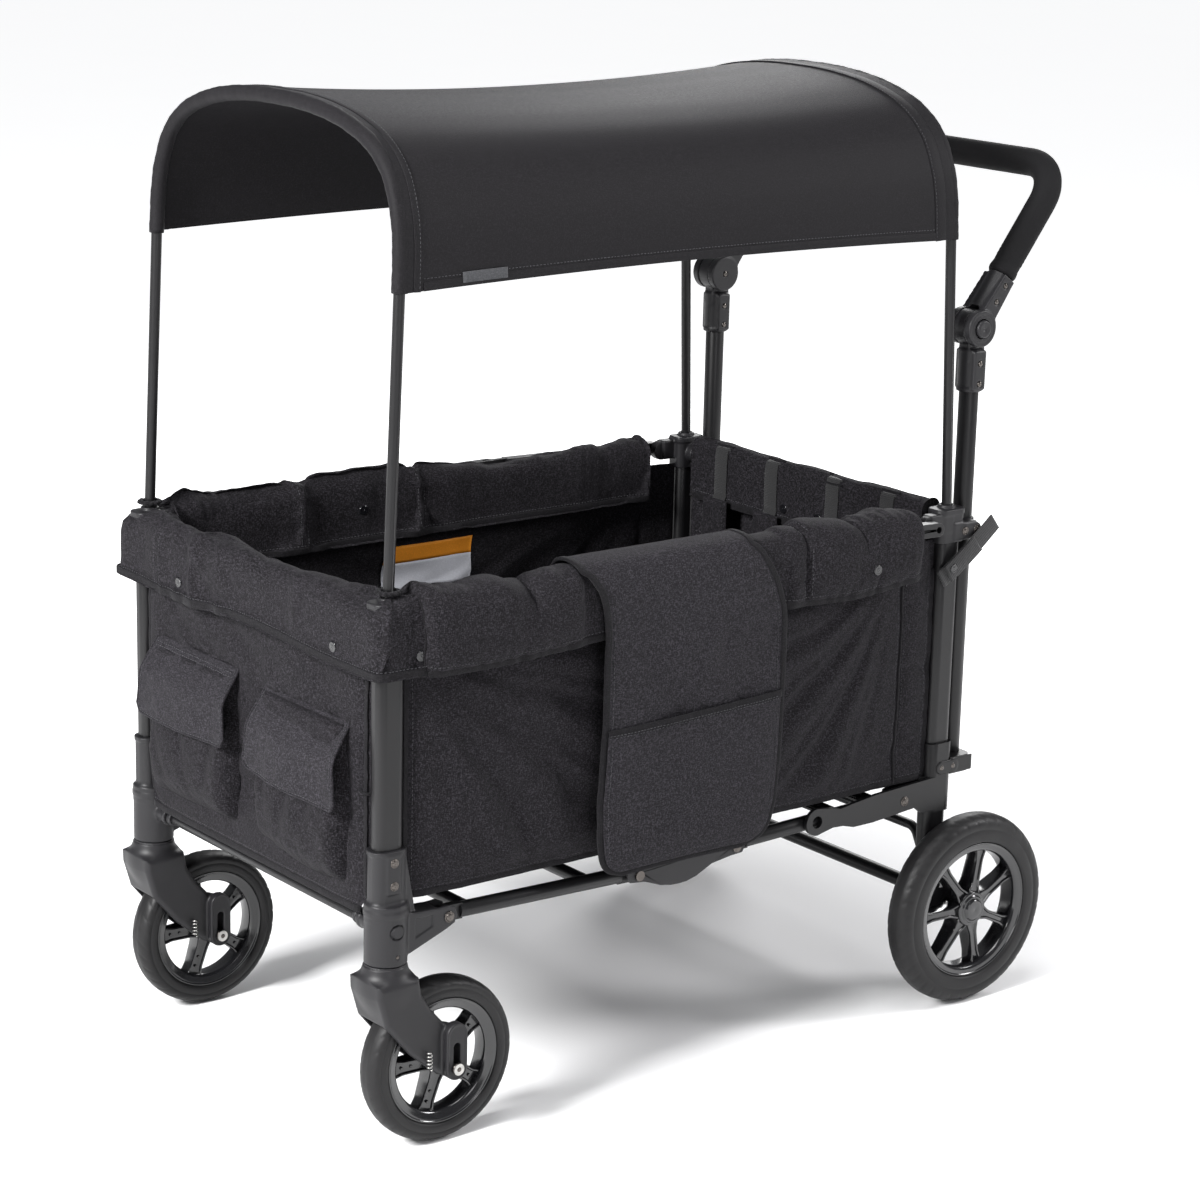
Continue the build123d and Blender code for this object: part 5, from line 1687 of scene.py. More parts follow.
# ---------------------------------------------------------------------------
# cargo pockets on the front wall: a slumped pouch under a stiff flap
# ---------------------------------------------------------------------------
# pouch: x range, belly and tilt of the bottom, creases (s0, t0, s1, t1, height) with s
# across and t up; flap: x range, top and bottom heights, tilt, height of its two stitch rows
CARGO = {
    "left": dict(
        seed=3, pouch_x=(30, 214), belly=12.0, tilt=-8.0,
        creases=((0.62, 0.95, 0.30, 0.10, 2.6), (0.86, 0.80, 0.55, 0.20, 2.2),
                 (0.12, 0.70, 0.20, 0.15, 1.8)),
        flap_x=(36.0, 212.0), flap_z=(509.0, 411.0), flap_tilt=-6.0, rows=(503.0, 499.0)),
    "right": dict(
        seed=4, pouch_x=(-214, -22), belly=4.0, tilt=6.0,
        creases=((0.30, 0.92, 0.55, 0.15, 2.4), (0.88, 0.85, 0.72, 0.10, 2.4),
                 (0.10, 0.50, 0.30, 0.10, 1.8)),
        flap_x=(-210.0, -24.0), flap_z=(515.0, 421.0), flap_tilt=4.0, rows=(508.0, 504.0)),
}
POUCHES = {}


def cargo_pouch(tag, seed, pouch_x, belly, tilt, creases):
    n = 40
    s, t = unit_grid(n, n)
    x0, x1 = pouch_x
    bottom = 322 - belly * np.sin(np.pi * s) + (s - 0.5) * tilt
    x = x0 + 6 + (x1 - x0 - 12) * s + 5.0 * np.sin(np.pi * t) * (s - 0.5) * 2
    z = bottom + (505 - bottom) * t
    edge = np.minimum.reduce([s * 9, (1 - s) * 9, t * 7, (1 - t) * 16 + 0.25])
    k = np.sqrt(1 - (1 - np.clip(edge, 0, 1)) ** 2)
    puff = k * (14.0 + 11.0 * np.exp(-((t - 0.30) / 0.36) ** 2)
                * (0.75 + 0.25 * np.sin(np.pi * s)))
    crease = np.zeros(x.shape)
    for s0, t0, s1, t1, height in creases:
        ds, dt = s1 - s0, t1 - t0
        along = np.clip(((s - s0) * ds + (t - t0) * dt) / math.hypot(ds, dt) ** 2, 0, 1)
        away = np.hypot(s - s0 - along * ds, t - t0 - along * dt) * 180
        crease += (height * np.exp(-(away / 8.0) ** 2)
                   * np.sin(np.pi * np.clip(along, 0.04, 0.96)))
    y = -483.4 - puff + (crease * 1.5 - noise_over(x, 0, z, 42.0, seed) * 3.2) * k
    verts, faces = double_sheet(np.stack([x, np.minimum(y, -483.4), z], 2),
                                np.stack([x, np.full(x.shape, -483.1), z], 2))
    ob = new_obj(f"cargo_pouch_{tag}", verts, faces, "heather")
    pin = ((s < 0.01) | (s > 0.99) | (t < 0.01) | (t > 0.93)).astype(float).ravel()
    cloth(ob, np.concatenate([pin, np.ones(n * n)]), grow=0.03, pressure=120.0, limit=3.2,
          bend=0.06)
    POUCHES[tag] = ob


def cargo_flap(tag, seed, flap_x, flap_z, flap_tilt):
    """It flares towards its lower corners and bows outwards."""
    s, t = unit_grid(38, 24)
    (x0, x1), (top, low) = flap_x, flap_z
    flare = 9.0 * t ** 1.5
    x = x0 - flare + (x1 - x0 + 2 * flare) * s
    corner = 11.0
    edge = np.minimum(s, 1 - s) * (x1 - x0)
    z = top - (top - low) * t + flap_tilt * (s - 0.5) * t
    cut_back = corner - np.sqrt(np.maximum(corner ** 2 - (corner - edge) ** 2, 0))
    z = z + np.where(edge < corner, cut_back, 0) * t ** 6
    bow = (4.0 * np.sin(np.pi * np.clip(t * 3, 0, 0.5)) + 22.0 * smooth(t, 0.0, 0.5)
           + 3.5 * t ** 2)
    wave = (2.2 * np.sin(s * 7.5 + 1.3) * t ** 2
            + 2.0 * noise_over(x, 0, z, 46.0, seed + 7) * t)
    y = -485.0 - bow + wave - 1.8 * np.exp(-((s - 0.5) / 0.42) ** 2) * t
    ob = loose_sheet(f"cargo_flap_{tag}", np.stack([x, np.maximum(y, -519.0), z], 2),
                     "heather_light")
    pin = ((t < 0.07) | (t > 0.97) | (s < 0.02) | (s > 0.98)).astype(float).ravel()
    cloth(ob, pin, grow=0.004, limit=1.6, bend=0.4, mass=0.0006)


for tag, spec in CARGO.items():
    cargo_pouch(tag, *(spec[k] for k in ("seed", "pouch_x", "belly", "tilt", "creases")))
    cargo_flap(tag, *(spec[k] for k in ("seed", "flap_x", "flap_z", "flap_tilt")))

# ---------------------------------------------------------------------------
# organiser flap: hangs over the left rim, with an open pocket low down
# ---------------------------------------------------------------------------
# height, Y of the front edge, Y of the rear edge
ORGANISER_OUTLINE = np.array([
    (291, -152, 14), (293, -166, 30), (296, -176, 42), (301, -184, 53), (308, -189, 61),
    (318, -192, 66), (343, -195, 73), (384, -196, 76), (407, -194, 77), (473, -190, 79),
    (530, -190, 80), (571, -190, 79), (590, -191, 74), (620, -195, 62), (640, -201, 50),
    (660, -214, 38), (670, -222, 31)])
# (x, z) up the outside, round the top and down the inside
ORGANISER_PATH = [
    (303.5, 292.0), (303.5, 480.0), (304.3, 555.0), (306.1, 590.0), (306.3, 628.0),
    (303.6, 650.0), (296.0, 664.0), (284.0, 671.2), (266.0, 673.6), (249.0, 671.0),
    (238.6, 660.0), (234.6, 640.0), (233.6, 604.0)]


def organiser_edges(z):
    """Front and rear edge (y) of the flap at height z."""
    heights, front, rear = ORGANISER_OUTLINE.T
    return np.interp(z, heights, front), np.interp(z, heights, rear)


def organiser_bottom(s):
    return 292.0 + 1.6 * np.sin(np.pi * s)


def organiser_flap():
    s, t = unit_grid(54, 96)
    path = curve([(x, 0, z) for x, z in ORGANISER_PATH], 3.0)
    run = np.r_[0, np.cumsum(np.linalg.norm(np.diff(path, axis=0), axis=1))]
    along = t * run[-1]
    x = np.interp(along, run, path[:, 0])
    z = np.interp(along, run, path[:, 2])
    front, rear = organiser_edges(np.where(along < 372, z, 670.0))
    y = front + (rear - front) * s
    z = z + (organiser_bottom(s) - 292.0) * np.exp(-along / 40.0)
    hang = (1 - smooth(along, 270, 345)) * smooth(along, 0, 60)
    x = (x + noise_over(0, y, t * 600, 80.0, 15) * 2.2 * hang
         + 1.8 * np.sin(np.pi * s) * hang)
    ob = loose_sheet("organiser_cloth", np.stack([x, y, z], 2), "heather_light")
    edge = np.minimum.reduce([s * 250, (1 - s) * 250, along])
    cloth(ob, ((edge < 3) | (along > 280)).astype(float).ravel(), grow=0.010, limit=2.4,
          bend=0.15, mass=0.0008)


def organiser_pocket():
    s, t = unit_grid(54, 44)
    low = organiser_bottom(s) + 2.0
    z = low + (470 + 8.0 * s - low) * t
    front, rear = organiser_edges(z)
    y = front + 2.5 + (rear - front - 5.0) * s
    inset = np.clip(np.minimum.reduce([s * 220, (1 - s) * 220, t * 160 + 4]) / 30, 0, 1)
    x = 306.4 + 2.8 * inset + noise_over(0, y, z, 60.0, 19) * 1.6 * inset
    ob = loose_sheet("organiser_pocket", np.stack([x, y, z], 2), "heather_light")
    pin = ((s < 0.02) | (s > 0.98) | (t < 0.03)
           | ((t > 0.97) & (np.abs(s - 0.5) > 0.2))).astype(float)
    cloth(ob, pin.ravel(), grow=0.012, limit=2.0, bend=0.15, mass=0.0008, pressure=40.0)


organiser_flap()
organiser_pocket()
settle()


# ---------------------------------------------------------------------------
# finish the settled cloth: thickness, smoothness, fine creases
# ---------------------------------------------------------------------------
def sheet_points(name):
    ob, nu, nv = SHEETS[name]
    return mm_of(ob).reshape(nu, nv, 3)


def thicken(name, thick, normal, mat, amp, scale, seed, where=None):
    """Swaps a loose sheet for a solid one of the same name."""
    pts = sheet_points(name)
    ob = SHEETS[name][0]
    me = ob.data
    bpy.data.objects.remove(ob)
    bpy.data.meshes.remove(me)
    ob = solid_sheet(name, pts, thick, mat, normal)
    subdivide(ob)
    crinkle(ob, amp, scale, seed, where)
    return ob


for side, sx in SIDES:
    subdivide(PADS[side])
    crinkle(PADS[side], 0.55, 13.0, 5 + sx, above(585, 20))
    place_folding(PADS[side], "heather_fabric", "side_rim_pads")
subdivide(PADS["front"])
crinkle(PADS["front"], 0.5, 13.0, 8, above(585, 20))
place(PADS["front"], "front_frame", "heather_fabric", "front_rim_pad")
subdivide(PADS["rear"])
crinkle(PADS["rear"], 0.35, 12.0, 9)
place(PADS["rear"], "rear_frame", "heather_fabric", "rear_rim_pad")

PAD_TREES = {key: tree_of(pad) for key, pad in PADS.items()}


# bound edges, stitches and studs of the rims
def side_rim_trim(side, sx):
    tree = PAD_TREES[side]
    ys = np.arange(-440.0, 310.1, 5.0)
    outer = np.array([(sx * 306.0, y, side_hem(y) + 4.6) for y in ys])
    inner = np.array([(sx * 232.0, y, 582.0) for y in ys])
    binding = Soup()
    for path, way, width, thick in ((outer, -sx, 9.5, 1.5), (inner, sx, 8.0, 1.4)):
        p, n = press(tree, path, (way, 0, 0), lift=0.5)
        binding.add(*tape(p, n * np.array([1, 0.2, 0.2]), width, thick))
    place_folding(binding.obj(f"side_rim_binding_{side}", "binding"), "heather_fabric")
    thread = Soup()
    sew(thread, tree, outer + np.array([0, 0, 6.6]), (-sx, 0, 0))
    sew(thread, tree, inner + np.array([0, 0, 6.0]), (sx, 0, 0))
    # seams across the pad: outside, top and inside
    for seam_y in ((119.0,) if sx > 0 else (-253.0, -69.0)):
        for y in (seam_y - 5.0, seam_y + 5.0):
            sew(thread, tree, upright_line(sx * 320.0, y, np.arange(590, 650, 3.0)),
                (-sx, 0, 0))
            sew(thread, tree, [(sx * x, y, 700.0) for x in np.arange(246, 293, 3.0)],
                (0, 0, -1))
            sew(thread, tree, upright_line(sx * 225.0, y, np.arange(590, 645, 3.0)),
                (sx, 0, 0))
    place_folding(thread.obj(f"side_rim_stitches_{side}", "thread"), "heather_fabric")


def front_hem_path():
    """Points and outward normals round the outer hem of the front pad."""
    path, normals = [], []
    last = len(FRONT_OUTER) - 1
    for i, (x, y) in enumerate(FRONT_OUTER):
        a, b = FRONT_OUTER[max(i - 1, 0)], FRONT_OUTER[min(i + 1, last)]
        t = np.array([b[0] - a[0], b[1] - a[1]])
        t /= np.linalg.norm(t) + 1e-9
        n = np.array([-t[1], t[0]])
        if n @ (np.array([x, y]) - np.array([0, -300.0])) < 0:
            n = -n
        start = to_frame((x + n[0] * 20, y + n[1] * 20, FRONT_HEM[i] + 4.8))[0]
        hit = PAD_TREES["front"].ray_cast(Vector(start), Vector((-n[0], -n[1], 0)), 0.05)[0]
        if hit is not None:
            path.append((hit.x * 1000 + n[0] * 0.6, hit.y * 1000 - SHIFT_Y + n[1] * 0.6,
                         hit.z * 1000))
            normals.append((n[0], n[1], 0.0))
    return np.array(path), np.array(normals)


def front_rim_trim():
    tree = PAD_TREES["front"]
    path, normals = front_hem_path()
    binding = Soup().add(*tape(path, normals, 10.0, 1.6))
    for sx in (1, -1):
        # upright bound edge where the corner cover laps over the side
        bind(binding, tree, upright_line(sx * 315.0, -438.0, np.arange(577.0, 662.0, 4.0)),
             (-sx, 0, 0), 8.0, 1.5)
    place(binding.obj("front_rim_binding", "binding"), "front_frame", "heather_fabric")
    thread = Soup()
    thread.add(*stitches(path + np.array([0, 0, 6.6]) + normals * 0.4, normals))
    for x in (-195.0, -185.0):
        sew(thread, tree, upright_line(x, -530.0, np.arange(588, 655, 3.0)), (0, 1, 0))
    place(thread.obj("front_rim_stitches", "thread"), "front_frame", "heather_fabric")
    studs = Soup()
    for point, direction in (((-141.0, -530.0, 596.0), (0, 1, 0)),
                             ((196.0, -530.0, 595.4), (0, 1, 0)),
                             ((320.0, -444.0, 599.0), (-1, 0, 0)),
                             ((-320.0, -444.0, 599.0), (1, 0, 0))):
        snap_on(studs, tree, point, direction)
    place(studs.obj("front_rim_snaps", "snap"), "front_frame", "black_plastic")


def side_rim_snaps():
    studs = Soup()
    for point, way, side in (((320.0, 225.0, 609.0), -1, "left"),
                             ((-320.0, 225.0, 609.0), 1, "right"),
                             ((-225.0, -160.0, 622.0), -1, "right"),
                             ((225.0, -160.0, 622.0), 1, "left")):
        snap_on(studs, PAD_TREES[side], point, (way, 0, 0))
    place_folding(studs.obj("side_rim_snaps", "snap"), "black_plastic")


def pole_collars():
    """Gathered rings where the canopy poles leave the rim."""
    for side, sx in SIDES:
        n, m = 72, 14
        v = []
        for i in range(n):
            a = 2 * math.pi * i / n
            w = math.sin(a * 13) * 0.9 + math.sin(a * 7 + 1.0) * 0.5
            for j in range(m):
                b = 2 * math.pi * j / m
                r = (11.2 + 3.6 * math.cos(b) * (1 + 0.10 * w)
                     + (0.6 * w if math.cos(b) > 0 else 0))
                v.append((sx * POST_X + r * math.cos(a), FRONT_POST_Y + r * math.sin(a),
                          668.6 + 2.6 * math.sin(b) + 0.35 * w))
        s = Soup().add(v, grid(n, m, True, True))
        place(s.obj(f"pole_collar_{side}", "binding"), "front_frame", "heather_fabric")


for side, sx in SIDES:
    side_rim_trim(side, sx)
front_rim_trim()
side_rim_snaps()
pole_collars()

# ---------------------------------------------------------------------------
# panels
# ---------------------------------------------------------------------------
PANEL_TREES = {}


def side_panel(side, sx):
    ob = thicken(f"side_panel_{side}", 1.6, (sx, 0, 0), "heather", 0.32, 12.0, 31 + sx,
                 lambda v: above(306, 15)(v) * np.clip((v[:, 1] + 445) / 20, 0, 1))
    place_folding(ob, "heather_fabric", "side_panels")
    tree = PANEL_TREES[side] = tree_of(ob)
    inward, out_x = (-sx, 0, 0), sx * 300.0
    ys = np.arange(-446.0, 365.1, 6.0)
    zs = np.arange(308.0, 588.0, 5.0)
    binding = Soup()
    bind(binding, tree, [(out_x, y, 309.5) for y in ys], inward, 8.0, 1.8, lift=0.4)
    # piping ahead of the rear post, then a flat strip at each end of the panel
    p, _ = press(tree, upright_line(out_x, 306.0, zs), inward, lift=0.6)
    binding.add(*sweep(p, circle(2.0, 10), normals=(sx, 0, 0)))
    bind(binding, tree, upright_line(out_x, -444.0, zs), inward, 7.0, 1.6, lift=0.4)
    bind(binding, tree, upright_line(out_x, 362.0, zs), inward, 8.0, 1.6, lift=0.4)
    place_folding(binding.obj(f"side_panel_binding_{side}", "binding"), "heather_fabric")
    thread = Soup()
    sew(thread, tree, [(out_x, y, 315.5) for y in ys], inward, gap=2.0)
    for y in (299.5, 313.0, 354.0, -437.0):
        sew(thread, tree, upright_line(out_x, y, zs), inward, gap=2.0)
    place_folding(thread.obj(f"side_panel_stitches_{side}", "thread"), "heather_fabric")


def front_panel():
    ob = thicken("front_wall_cloth", 1.6, (0, -1, 0), "heather", 0.32, 12.0, 41,
                 above(290, 15))
    place(ob, "front_frame", "heather_fabric", "front_wall_panel")
    tree = tree_of(ob)
    binding, thread = Soup(), Soup()
    xs = np.arange(-231.0, 231.5, 6.0)
    bind(binding, tree, [(x, -520.0, 290.5) for x in xs], (0, 1, 0), 9.0, 1.8)
    sew(thread, tree, [(x, -520.0, 297.5) for x in xs], (0, 1, 0), gap=2.0)
    for x in (-238.0, 238.0):
        bind(binding, tree, upright_line(x, -520.0, np.arange(306, 588, 5.0)), (0, 1, 0),
             7.0, 1.6, lift=0.4)
    place(binding.obj("front_wall_binding", "binding"), "front_frame", "heather_fabric")
    place(thread.obj("front_wall_stitches", "thread"), "front_frame", "heather_fabric")


def rear_panel():
    ob = thicken("rear_wall_cloth", 1.6, (0, 1, 0), "heather", 0.32, 12.0, 43)
    place(ob, "rear_frame", "heather_fabric", "rear_wall_panel")
    tree = tree_of(ob)
    binding, thread = Soup(), Soup()
    hem_x, row_x = np.arange(-240, 241, 6.0), np.arange(-236, 237, 6.0)
    for face in (1, -1):
        y = 397.0 + 40 * face
        bind(binding, tree, [(x, y, 304.5) for x in hem_x], (0, -face, 0), 8.0, 1.6, lift=0.4)
        sew(thread, tree, [(x, y, 311.0) for x in hem_x], (0, -face, 0), gap=2.0)
        for z in (372.0, 378.0, 520.0, 526.0):
            sew(thread, tree, [(x, y, z) for x in row_x], (0, -face, 0), gap=2.0)
    place(binding.obj("rear_wall_binding", "binding"), "rear_frame", "heather_fabric")
    place(thread.obj("rear_wall_stitches", "thread"), "rear_frame", "heather_fabric")


for side, sx in SIDES:
    side_panel(side, sx)
front_panel()
rear_panel()


# ---------------------------------------------------------------------------
# seats, mats and the cloth floor
# ---------------------------------------------------------------------------
def finish_cushion(key, body, node, quilt):
    ob = CUSHION_OBJECTS[key]
    subdivide(ob)
    crinkle(ob, 0.3, 12.0, 60)
    place(ob, body, "heather_fabric", node)
    v = mm_of(ob)
    (x0, y0, z0), (x1, y1, z1) = v.min(0), v.max(0)
    tree = tree_of(ob)
    thread = Soup()
    for axis, place_ in quilt:
        for c in (place_ - 1.6, place_ + 1.6):
            if axis == "x":
                row = [(c, y, z1 + 30) for y in np.arange(y0 + 6, y1 - 5, 5.0)]
            else:
                row = [(x, c, z1 + 30) for x in np.arange(x0 + 6, x1 - 5, 5.0)]
            sew(thread, tree, row, (0, 0, -1), gap=2.2, length=3.2)
    place(thread.obj(f"{key}_stitches", "thread"), body, "heather_fabric")
    if "seat" in key:
        # piped edge round the cushion
        xa, xb, ya, yb = x0 + 1.5, x1 - 1.5, y0 + 1.5, y1 - 1.5
        ring = [(xa, ya + 6), (x0 + 7, ya + 1), (x1 - 7, ya + 1), (xb, ya + 6),
                (xb, yb - 6), (x1 - 7, yb - 1), (x0 + 7, yb - 1), (xa, yb - 6)]
        path = curve([(x, y, (z0 + z1) / 2 + 2) for x, y in ring], 6.0, True)
        piping = Soup().add(*sweep(path, circle(2.0, 8), closed=True))
        place(piping.obj(f"{key}_piping", "binding"), body, "heather_fabric")


def rect_ring(x, y0, y1, per=50):
    """Points round a rectangle from -x to x."""
    pts = [(-x + 2 * x * i / per, y0) for i in range(per)]
    pts += [(x, y0 + (y1 - y0) * i / (per * 2)) for i in range(per * 2)]
    pts += [(x - 2 * x * i / per, y1) for i in range(per)]
    pts += [(-x, y1 - (y1 - y0) * i / (per * 2)) for i in range(per * 2)]
    return np.array(pts)


def floor_cloth():
    """Cloth that joins the mats to the walls, all the way round."""
    outer, inner = rect_ring(262.0, -477.5, 386.0), rect_ring(228.8, -387.2, 319.2)
    n, m = len(outer), 7
    pts = np.zeros((n, m, 3))
    for k in range(m):
        t = k / (m - 1)
        pts[:, k, :2] = outer * (1 - t) + inner * t
        pts[:, k, 2] = 306.5 - 5.0 * t - 2.0 * math.sin(math.pi * t)
    pts[..., 2] += 1.0 * fbm(pts.reshape(-1, 3), 40.0, 55, 2).reshape(n, m)
    under = n * m
    verts = np.concatenate([pts.reshape(-1, 3), (pts - np.array([0, 0, 1.3])).reshape(-1, 3)])
    quads = grid(n, m, True, False)
    faces = [tuple(q) for q in quads] + [tuple(q[::-1] + under) for q in quads]
    for i in range(n):
        a, b = i * m, (i + 1) % n * m
        faces.append((a, b, b + under, a + under))
        a, b = a + m - 1, b + m - 1
        faces.append((b, a, a + under, b + under))
    ob = fix_normals(new_obj("floor_cloth", verts, faces, "lining"))
    subdivide(ob)
    crinkle(ob, 0.4, 14.0, 57)
    place_folding(ob, "heather_fabric")


for key, _, body, node, _, _, quilt, _ in CUSHIONS:
    finish_cushion(key, body, node, quilt)
floor_cloth()


# ---------------------------------------------------------------------------
# cargo pockets and organiser, finished
# ---------------------------------------------------------------------------
def finish_cargo(tag, crease_seed):
    pouch = POUCHES[tag]
    subdivide(pouch)
    crinkle(pouch, 0.45, 11.0, crease_seed, lambda v: np.clip((-485 - v[:, 1]) / 6, 0, 1))
    place(pouch, "front_frame", "heather_fabric", "cargo_pockets")
    name = f"cargo_flap_{tag}"
    pts = sheet_points(name)
    flap = thicken(name, 2.2, (0, -1, 0), "heather_light", 0.25, 12.0, 75)
    place(flap, "front_frame", "light_heather", "cargo_pockets")
    tree = tree_of(flap)
    # hem roll along the free edges and a stitch row inside it
    edge = resample(np.concatenate([pts[0, :], pts[1:-1, -1], pts[-1, ::-1]]), 3.0)
    hem = Soup().add(*sweep(edge, circle(1.7, 8, 1.9)))
    place(hem.obj(f"cargo_flap_hem_{tag}", "heather_light"), "front_frame", "light_heather")
    thread = Soup()
    centre = pts.reshape(-1, 3).mean(0)
    inset = centre + (edge - centre) * np.array([0.955, 1, 0.955])
    inset[:, 1] = -560
    sew(thread, tree, inset, (0, 1, 0), gap=1.8, reach=80)
    for z in CARGO[tag]["rows"]:
        row = [(x, -560.0, z) for x in np.arange(pts[0, 0, 0] + 6, pts[-1, 0, 0] - 6, 4.0)]
        sew(thread, tree, row, (0, 1, 0), gap=1.8, reach=80)
    place(thread.obj(f"cargo_flap_stitches_{tag}", "thread"), "front_frame", "light_heather")


def organiser_normal(x, z):
    """Which way the bound edge faces: out, in, or over the top of the rim."""
    if z < 640 and x > 280:
        return (1, 0, 0)
    if x < 245 and z < 655:
        return (-1, 0, 0)
    n = np.array([x - 268.0, 0, max(z - 630, 5)])
    return n / np.linalg.norm(n)


def finish_organiser():
    flap = sheet_points("organiser_cloth")
    ob = thicken("organiser_cloth", 2.6, (1, 0, 0), "heather_light", 0.22, 14.0, 81)
    place_folding(ob, "light_heather", "organiser_flap")
    flap_tree = tree_of(ob)
    pocket = sheet_points("organiser_pocket")
    ob = thicken("organiser_pocket", 1.8, (1, 0, 0), "heather_light", 0.25, 13.0, 83)
    place_folding(ob, "light_heather", "organiser_flap")
    pocket_tree = tree_of(ob)
    edge = resample(np.concatenate([flap[0, ::-1], flap[1:-1, 0], flap[-1, :]]), 4.0)
    normals = np.array([organiser_normal(x, z) for x, _, z in edge], float)
    binding = Soup().add(*tape(edge + normals * 0.2, normals, 9.0, 4.4))
    mouth = resample(pocket[:, -1], 4.0)
    binding.add(*tape(mouth + np.array([0.8, 0, -2.5]), (1, 0, 0), 9.0, 2.6))
    place_folding(binding.obj("organiser_binding", "binding"), "light_heather")
    thread = Soup()
    inward = (-1, 0, 0)
    for side_edge, inset in ((flap[0], 8.5), (flap[-1], -8.5)):
        row = resample(side_edge, 4.0)
        row = row[(row[:, 2] < 630) & (row[:, 0] > 280) & (row[:, 2] > 312)]
        p, n = press(flap_tree, row + np.array([40.0, inset, 0]), inward)
        # beside the pocket the stitches lie on top of it
        low = p[:, 2] < 455
        p[low, 0] = np.maximum(p[low, 0], 308.6)
        thread.add(*stitches(p, n, gap=1.8))
    # the upper row of the mouth lies on the tape
    for drop, lift in ((-4.5, 2.2), (-8.0, 0.0)):
        p, n = press(pocket_tree, mouth + np.array([40.0, 0, drop]), inward)
        thread.add(*stitches(p + np.array([lift, 0, 0]), n, gap=1.8))
    sew(thread, pocket_tree, resample(pocket[:, 0], 4.0) + np.array([40.0, 0, 9.0]), inward,
        gap=1.8)
    place_folding(thread.obj("organiser_stitches", "thread"), "light_heather")


finish_cargo("left", 71)
finish_cargo("right", 72)
finish_organiser()

# ---------------------------------------------------------------------------
# canopy
# ---------------------------------------------------------------------------
# (x, z) of the left half of a hoop, from the pole up
HOOP = [(258.4, 1000.0), (258, 1012), (256.5, 1050), (250, 1085), (231.5, 1124), (197, 1153),
        (150, 1171), (100, 1181), (45, 1186)]
POLE_FOOT_Z, POLE_RISE = 658.0, 354.0
FRONT_LEAN, REAR_LEAN = 13.8, -15.3     # shift along Y over POLE_RISE


def canopy():
    hoop = HOOP + [(0, 1186.7)] + [(-x, z) for x, z in HOOP[::-1]]
    arc = curve([(x, 0, z) for x, z in hoop], 5.0)
    across = len(arc)
    t = np.gradient(arc, axis=0)
    t /= np.linalg.norm(t, axis=1, keepdims=True)
    normals = np.stack([t[:, 2], 0 * t[:, 0], -t[:, 0]], 1)

    def hoop_line(y, lean):
        return np.stack([arc[:, 0], y + lean / POLE_RISE * (arc[:, 2] - POLE_FOOT_Z),
                         arc[:, 2]], 1)

    front = hoop_line(FRONT_POST_Y, FRONT_LEAN)
    rear = hoop_line(REAR_POST_Y, REAR_LEAN)
    along = 96
    v = np.linspace(0, 1, along)
    u = np.linspace(0, 1, across)
    slack = 4 * v * (1 - v)
    topness = np.sin(np.pi * u) ** 1.4
    pts = np.zeros((across, along, 3))
    for j, t in enumerate(v):
        sag = slack[j] * (3.0 + 17.0 * topness)
        pts[:, j] = front * (1 - t) + rear * t + normals * (8.2 - sag)[:, None]
    # lower edges pull up a little between the hoops
    edge = np.exp(-u / 0.07) + np.exp(-(1 - u) / 0.07)
    pts[:, :, 2] += edge[:, None] * (slack[None, :] * 7.0)
    # ripples near the hoops, and a broad unevenness between them
    ends = (np.exp(-v / 0.035) + np.exp(-(1 - v) / 0.035))[None, :]
    ripple = noise_over(np.arange(across)[:, None] * 5.0, v[None, :] * 200.0, 0, 26.0, 7, 2)
    broad = noise_over(pts[..., 0], pts[..., 1] * 0.4, pts[..., 2], 120.0, 3, 2)
    pts += normals[:, None, :] * (ripple * 0.55 * ends + 0.9 * broad * slack[None, :])[..., None]
    sheet = solid_sheet("canopy_sheet", pts, 1.1, "canopy", (0, 0, 1))
    subdivide(sheet)
    place(sheet, "rear_canopy", "canopy_fabric", "canopy_cover", fold=True)

    k = np.arange(across)
    uneven = 1 + 0.02 * np.sin(k * 0.9) + 0.02 * np.sin(k * 2.3)
    for tag, line in (("front", front), ("rear", rear)):
        sleeve = Soup().add(*sweep(line, circle(9.0, 22), scale=uneven, normals=normals))
        place(sleeve.obj(tag + "_canopy_sleeve", "canopy"), tag + "_canopy", "canopy_fabric",
              "canopy_cover")

    # binding bands beside each sleeve, and hems along the lower edges
    binding, thread = Soup(), Soup()
    for j, width, way in ((2, 9.0, 1), (along - 4, 17.0, -1)):
        p = pts[:, j] + normals * 0.9
        binding.add(*tape(p, normals, width, 1.3))
        row = p + np.array([0, way * (width / 2 - 1.6), 0]) + normals * 0.55
        thread.add(*stitches(row, normals, gap=2.2, length=2.6, w=1.0, h=0.5))
    for i, up in ((1, 2), (across - 2, -2)):
        n = normals[i]
        binding.add(*tape(resample(pts[i, 3:-3], 5.0) + n * 0.5, n, 10.0, 1.7))
        row = resample(pts[i + up, 3:-3], 5.0) + n * 0.55 + np.array([0, 0, -1.2])
        thread.add(*stitches(row, n, gap=2.0, length=2.8, w=0.9, h=0.5))
    place(binding.obj("canopy_binding", "canopy"), "rear_canopy", "canopy_fabric", fold=True)
    place(thread.obj("canopy_stitches", "thread"), "rear_canopy", "canopy_fabric", fold=True)

    # small blank tag low on the left, near the front
    n = normals[2]
    tag = Soup().add(*tape(resample(pts[2, 9:17], 5.0) + n * 1.5, n, 12.0, 1.0))
    place(tag.obj("canopy_blank_tag", "tag"), "rear_canopy", "canopy_fabric", fold=True)


canopy()


